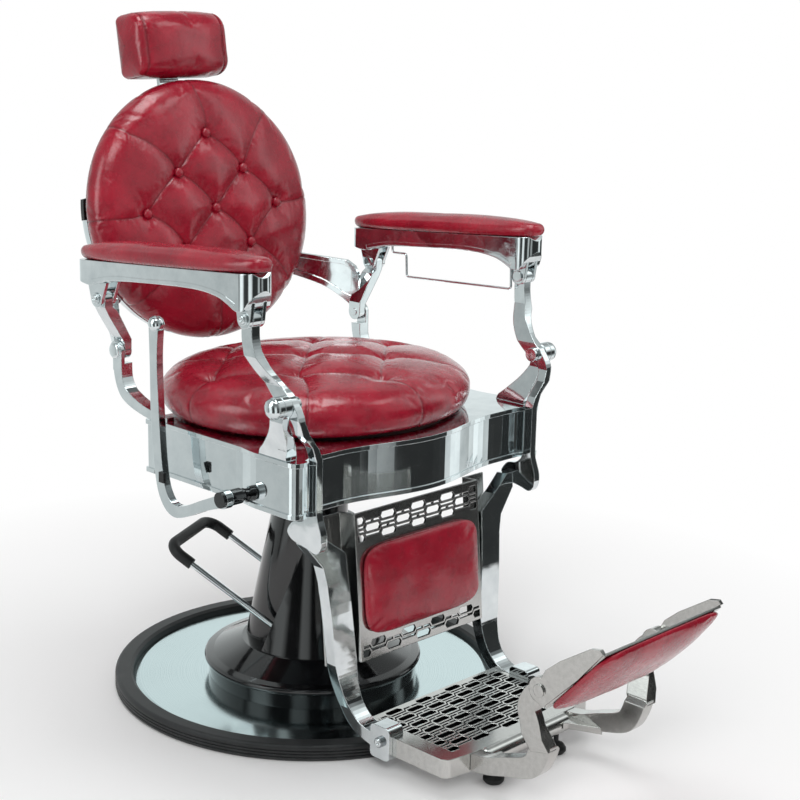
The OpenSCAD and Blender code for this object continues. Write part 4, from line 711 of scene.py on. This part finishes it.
armPad = dict(name="armPad", rx=33.5, ry=213.5, power=3.1, count=260, thick=21, roll=10.5, turn=68,
              crown=9, sideCells=14, topCells=14, seed=31)
calfPad = dict(name="calfPad", rx=126, ry=71, power=6, count=240, thick=9, roll=4, turn=70, crown=5,
               sideCells=12, topCells=18, seed=41)
flipPad = dict(name="flipPad", rx=138.5, ry=72, power=7, count=260, thick=8, roll=4, turn=70, crown=14,
               sideCells=12, topCells=20, seed=51)

armRail = dict(side=294, rear=200, height=718, slope=0.0709, middle=-5.5, gap=0.3)
padHeight = armRail["height"] + (armRail["rear"] - armRail["middle"]) * armRail["slope"] + armRail["gap"]
padTilt = -math.degrees(math.atan(armRail["slope"]))
armLeft, armRight = (
    plainPad(dict(armPad, name=name), placed(x, armRail["middle"], padHeight, padTilt), padLeather)
    for name, x in (("armPadLeft", armRail["side"]), ("armPadRight", -armRail["side"])))
onPanel = Matrix.Translation((0, -0.3, 106)) @ Matrix.Rotation(math.radians(90), 4, "X")
calf = plainPad(calfPad, placed(0, -257, 141, -5.2) @ onPanel, redLeather)
flip = plainPad(flipPad, placed(0, -605, 209, 132) @ Matrix.Translation((0, 58, 24.3)), redLeather)
for piece, node, body in ((armLeft, "arm_pad_left", "arm_left"), (armRight, "arm_pad_right", "arm_right"),
                          (calf, "calf_pad", "leg_rest"), (flip, "flip_pad", "flip_rest")):
    held = [i for i, v in enumerate(piece.data.attributes["flat"].data) if v.value > 0.5]
    pulledTight(piece, held, 0.0012, spare=0.0)
    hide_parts(node)
    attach(piece, body)
print("plain pads made")


# Headrest: a rolled leather face between two sewn end panels, on the flat post

headBlock = dict(half=95, seamAt=80, halfHeight=53, back=-61, front=10, radii=(31, 27, 12, 12), crown=7,
                 groove=1.5, dome=5, around=176, stitch=4.2, stitchOff=2.6)


# Section of the block: y up the back, z to the sitter, from the top front corner
def roundedSection(h, back, front, radii, count):
    corners = [(h - radii[0], front - radii[0], radii[0], 90), (h - radii[3], back + radii[3], radii[3], 0),
               (-h + radii[2], back + radii[2], radii[2], -90),
               (-h + radii[1], front - radii[1], radii[1], -180)]
    loop = [(y + r * math.cos(math.radians(start - t)), z + r * math.sin(math.radians(start - t)))
            for y, z, r, start in corners for t in range(0, 91, 15)]
    loop = np.array(loop)
    step = np.linalg.norm(np.diff(loop, axis=0, append=loop[:1]), axis=1)
    run = np.concatenate([[0], np.cumsum(step)])
    at = np.linspace(0, run[-1], count, endpoint=False)
    closed = np.vstack([loop, loop[:1]])
    return np.stack([np.interp(at, run, closed[:, 0]), np.interp(at, run, closed[:, 1])], axis=1)


def rolledBlock(spec, matrix, material):
    around, seamAt, half = spec["around"], spec["seamAt"], spec["half"]
    ring = roundedSection(spec["halfHeight"], spec["back"], spec["front"], spec["radii"], around)
    middle = ring.mean(axis=0)
    outward = np.roll(ring, 1, axis=0) - np.roll(ring, -1, axis=0)
    outward = np.stack([outward[:, 1], -outward[:, 0]], axis=1)
    outward *= np.sign(np.sum(outward * (ring - middle), axis=1, keepdims=True))
    outward /= np.linalg.norm(outward, axis=1, keepdims=True)
    stations = []
    edge = half - seamAt
    for t in np.linspace(0.02, 1, 9)[:-1]:  # end panel, from its middle outwards
        stations.append((half + spec["dome"] * (1 - t ** 2) * 0.8, None, t))
    for t in np.linspace(80, 0, 9):
        a = math.radians(t)
        stations.append((seamAt + edge * math.sin(a), edge * (1 - math.cos(a)), 1))
    inner = [0.4, 0.9, 1.5, 2.3, 3.4, 5, 8, 12] + list(np.linspace(17, seamAt, 24))
    rows, seam, held = [], [], []
    lastInset = edge * (1 - math.cos(math.radians(80)))

    def addRow(x, inset, share):
        shape = middle + (ring - outward * inset - middle) * share
        gap = abs(abs(x) - seamAt)
        shape = shape - outward * spec["groove"] * math.exp(-gap / 1.4) * (share == 1)
        bulge = spec["crown"] * (1 - (x / seamAt) ** 4) * (share == 1) if abs(x) < seamAt else 0
        front = np.clip((shape[:, 1] - middle[1]) / (spec["front"] - middle[1]), 0, 1)
        shape = shape + outward * (bulge * front)[:, None]
        rows.append(np.column_stack([np.full(around, x), shape]))
        # distance to the sewn seam, where the leather paints shade into the groove
        seam.append(np.full(around, gap if share == 1 else 20.0))
        held.append((gap < 1.0) | (shape[:, 1] < spec["back"] + 6))

    for x, inset, share in stations:
        addRow(-x, lastInset if inset is None else inset, share)
    for x in [-seamAt + d for d in inner] + [seamAt - d for d in inner[::-1][1:]]:
        addRow(x, 0, 1)
    for x, inset, share in stations[::-1]:
        addRow(x, lastInset if inset is None else inset, share)
    points = np.concatenate(rows)
    points[:, 2] += 0.5 * waves(points, 60, 21) * (points[:, 2] > spec["back"] + 12)
    block = makePiece("headrestBlock", points, gridFaces(len(rows), around, 0, True), matrix, material, 0.01,
                      {"seam": np.concatenate(seam), "flat": np.concatenate(held).astype(float)})
    stitches = []
    for side in (-1, 1):
        for off in (-spec["stitchOff"], spec["stitchOff"]):
            x = side * seamAt + off
            sunk = 0.25 + (edge * (1 - math.sqrt(1 - (off / edge) ** 2)) if off * side > 0 else 0)
            step = max(1, round(spec["stitch"] / (np.linalg.norm(ring[1] - ring[0]))))
            for k in range(0, around, step):
                place = ring[k] - outward[k] * (sunk - 0.15)
                ahead = ring[(k + 1) % around] - ring[k]
                stitches.append(((x, *place), (0, *outward[k]), (0, *ahead)))
    return block, stitches


headPlace = backPlace @ Matrix.Translation((0, 280, 0))
headrest, headStitches = rolledBlock(headBlock, headPlace, redLeather)
held = [i for i, v in enumerate(headrest.data.attributes["flat"].data) if v.value > 0.5]
pulledTight(headrest, held, 0.0025)
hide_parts("headrest")
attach(headrest, "head")
thread = template("threadStitch", [(0.01, -1.5), (0.28, -1.35), (0.36, -0.6), (0.36, 0.6), (0.28, 1.35),
                                   (0.01, 1.5)], 6)
thread.data.transform(Matrix.Rotation(math.radians(90), 4, "Y"))
turnHead = headPlace.to_3x3().normalized()
sewn = repeated("headrestStitches", thread, [headPlace @ Vector(p) for p, _, _ in headStitches],
                [turnHead @ Vector(f) for _, f, _ in headStitches],
                [turnHead @ Vector(t) for _, _, t in headStitches], redLeather)
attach(sewn, "head")
bpy.data.objects.remove(thread)
print("headrest sewn with", len(headStitches), "stitches")


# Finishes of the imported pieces

finishes = {
    "base_ring": ringRubber, "base_disc": dishSteel, "base_plate": steel, "round_cover": enamel,
    "tower_cover": enamel, "skirt_cover": enamel, "cylinder_tube": steel, "cylinder_head": steel,
    "pump_block": steel, "lever_stubs": steel, "pump_plunger": chrome, "pump_lever": chrome,
    "lever_sleeve": gripRubber, "ram": chrome, "ram_piston": steel, "swivel_plate": steel,
    "seat_frame": chrome, "seat_board": ply, "recline_lock": steel, "recline_lever": chrome,
    "lever_hub": enamel, "lever_tip": blackPlastic, "back_board": ply, "back_shell": chrome,
    "back_trim": enamel, "post_guide": enamel, "clamp_knob": blackPlastic, "headrest_post": chrome,
    "towel_wire": chrome, "leg_panel": panelSatin, "footplate": footSatin, "foot_bolts": steel,
    "rubber_feet": gripRubber, "footrest_arm_left": satin, "footrest_arm_right": satin,
    "flip_footrest": satin, "hinge_pins": castChrome, "rocker_pins": castChrome,
    "rear_arm_pins": castChrome, "front_arm_pins": castChrome,
}
for name, piece in nodes.items():
    finish = finishes.get(name, castChrome)
    piece.data.materials.clear()
    piece.data.materials.append(finish)
print("finishes set on the packed pieces")


# Stage: pale floor, white surroundings, grey and white studio cards all round that only reflections see

stage = dict(floorColour="#FAFAFA", lampKey=58, lampFill=12, lampTop=36, world=0.41, ringRadius=1.2,
             ringHigh=1.9, ceiling=0.75)
floorMesh = bpy.data.meshes.new("floor")
floorMesh.from_pydata([(-12, -12, 0), (12, -12, 0), (12, 12, 0), (-12, 12, 0)], [], [(0, 1, 2, 3)])
floor = bpy.data.objects.new("floor", floorMesh)
floor.location.z = -0.0002
bpy.context.scene.collection.objects.link(floor)
floorFinish = bpy.data.materials.new("paleFloor")
floorFinish.use_nodes = True
tree = floorFinish.node_tree
tree.nodes.clear()
path = addNode(tree, "ShaderNodeLightPath")
place = addNode(tree, "ShaderNodeTexCoord").outputs["Object"]
far = addNode(tree, "ShaderNodeVectorMath", {"operation": "LENGTH"}, {0: place})
fade = addNode(tree, "ShaderNodeMapRange", {"From Min": 0.42, "From Max": 1.15}, {"Value": far})
away = addNode(tree, "ShaderNodeMath", {"operation": "MULTIPLY"}, {0: fade, 1: path.outputs["Is Camera Ray"]})
matt = addNode(tree, "ShaderNodeBsdfDiffuse", {"Color": colour(stage["floorColour"])})
white = addNode(tree, "ShaderNodeEmission", {"Color": (1, 1, 1, 1), "Strength": 1.0})
choice = addNode(tree, "ShaderNodeMixShader", links={0: away, 1: matt, 2: white})
addNode(tree, "ShaderNodeOutputMaterial", links={"Surface": choice})
floorMesh.materials.append(floorFinish)

world = bpy.data.worlds.new("studio")
bpy.context.scene.world = world
world.use_nodes = True
tree = world.node_tree
tree.nodes.clear()
path = addNode(tree, "ShaderNodeLightPath")
seen = path.outputs["Is Camera Ray"]
for ray in ("Is Glossy Ray", "Is Transmission Ray"):
    seen = addNode(tree, "ShaderNodeMath", {"operation": "MAXIMUM"}, {0: seen, 1: path.outputs[ray]})
strength = addNode(tree, "ShaderNodeMapRange", {"To Min": stage["world"], "To Max": 1.0}, {"Value": seen})
sky = addNode(tree, "ShaderNodeBackground", {"Color": (1, 1, 1, 1)}, {"Strength": strength})
addNode(tree, "ShaderNodeOutputWorld", links={"Surface": sky})

# Studio cards: bearing in degrees from the front towards the sitter's left, brightness low down and high up
cards = [(-180, 0.90, 0.55), (-150, 0.78, 0.50), (-128, 0.60, 0.45), (-118, 0.52, 0.40),
         (-114, 0.06, 0.40), (-107, 1.10, 3.80), (-94, 1.20, 3.80), (-84, 0.06, 0.30), (-66, 0.04, 0.20),
         (-61, 1.10, 0.25), (-51, 0.90, 0.25), (-45, 0.03, 0.25), (-24, 0.04, 0.20), (-19, 0.55, 0.35),
         (-14, 0.62, 0.35), (-11, 0.04, 0.30), (-2, 0.04, 0.40), (1, 0.40, 0.50), (8, 0.34, 0.60),
         (11, 0.03, 0.60), (36, 0.03, 0.60), (50, 0.04, 1.20), (56, 0.85, 1.50), (64, 1.15, 1.40),
         (70, 0.04, 0.60), (96, 0.06, 0.35), (103, 1.10, 0.50), (120, 1.05, 0.60), (150, 1.00, 0.60),
         (180, 0.90, 0.55)]
# Soft boxes in the ceiling: bearing, half width, lower and upper height in degrees, brightness
softBoxes = [(0, 180, 68, 90, 6.0), (-52, 22, 10, 40, 5.0), (48, 14, 12, 38, 3.0), (170, 30, 8, 30, 1.0)]
ringFinish = bpy.data.materials.new("studioCards")
ringFinish.use_nodes = True
tree = ringFinish.node_tree
tree.nodes.clear()
level = addNode(tree, "ShaderNodeAttribute", {"attribute_name": "level"})
glow = addNode(tree, "ShaderNodeEmission", {"Color": (0.94, 1.0, 1.0, 1)}, {"Strength": level.outputs["Fac"]})
addNode(tree, "ShaderNodeOutputMaterial", links={"Surface": glow})
turns = np.arange(-180, 181)
bearings = [card[0] for card in cards]
cardRows = [(stage["ringRadius"], z, np.interp(turns, bearings, [card[row] for card in cards]))
            for z, row in ((0.0, 1), (0.62, 1), (0.95, 2), (stage["ringHigh"], 2))]
for tilt in range(2, 91, 2):
    light = np.full(len(turns), 0.15)
    for bearing, half, low, high, bright in softBoxes:
        gap = np.maximum(np.abs((turns - bearing + 180) % 360 - 180) - half, max(low - tilt, tilt - high))
        light = np.maximum(light, bright * np.clip(1 - gap / 5, 0, 1))
    a = math.radians(tilt)
    radius = stage["ringRadius"] * math.cos(a) + 0.001
    cardRows.append((radius, stage["ringHigh"] + stage["ceiling"] * math.sin(a), light))
points = [(math.sin(math.radians(t)) * radius, -math.cos(math.radians(t)) * radius, z)
          for radius, z, _ in cardRows for t in turns]
ringMesh = bpy.data.meshes.new("studioCards")
ringMesh.from_pydata(points, [], gridFaces(len(cardRows), len(turns)))
levels = ringMesh.attributes.new("level", "FLOAT", "POINT")
levels.data.foreach_set("value", np.concatenate([row[2] for row in cardRows]))
ringMesh.materials.append(ringFinish)
ring = bpy.data.objects.new("studioCards", ringMesh)
bpy.context.scene.collection.objects.link(ring)
ring.visible_camera = ring.visible_diffuse = ring.visible_shadow = ring.visible_transmission = False


def areaLamp(name, place, target, size, power):
    data = bpy.data.lights.new(name, "AREA")
    data.size = size
    data.energy = power
    lamp = bpy.data.objects.new(name, data)
    lamp.location = place
    lamp.rotation_mode = "QUATERNION"
    lamp.rotation_quaternion = (Vector(target) - Vector(place)).to_track_quat("-Z", "Y")
    lamp.visible_glossy = False  # the cards give the highlights
    bpy.context.scene.collection.objects.link(lamp)


areaLamp("keyLamp", (-2.4, -2.2, 2.8), (0, 0, 0.6), 1.6, stage["lampKey"])
areaLamp("fillLamp", (2.4, -2.0, 1.8), (0, 0, 0.5), 1.8, stage["lampFill"])
areaLamp("topLamp", (0.2, 0.6, 3.2), (0, 0, 0.5), 2.0, stage["lampTop"])

view = dict(place=(-1.7741, -1.9171, 1.1225), azimuth=-45.81, elevation=13.76, roll=1.28, lens=74.19)
camData = bpy.data.cameras.new("camera")
camData.lens = view["lens"]
camData.sensor_width = 36
camera = bpy.data.objects.new("camera", camData)
a, e, r = (math.radians(view[k]) for k in ("azimuth", "elevation", "roll"))
backward = Vector((math.sin(a) * math.cos(e), -math.cos(a) * math.cos(e), math.sin(e)))
right = Vector((math.cos(a), math.sin(a), 0))
up = backward.cross(right)
turned = (right * math.cos(r) + up * math.sin(r), up * math.cos(r) - right * math.sin(r), backward)
matrix = Matrix([[turned[c][i] for c in range(3)] for i in range(3)]).to_4x4()
matrix.translation = view["place"]
camera.matrix_world = matrix
bpy.context.scene.collection.objects.link(camera)
bpy.context.scene.camera = camera
bpy.context.scene.view_settings.view_transform = "Standard"
print("stage, lamps and camera set")
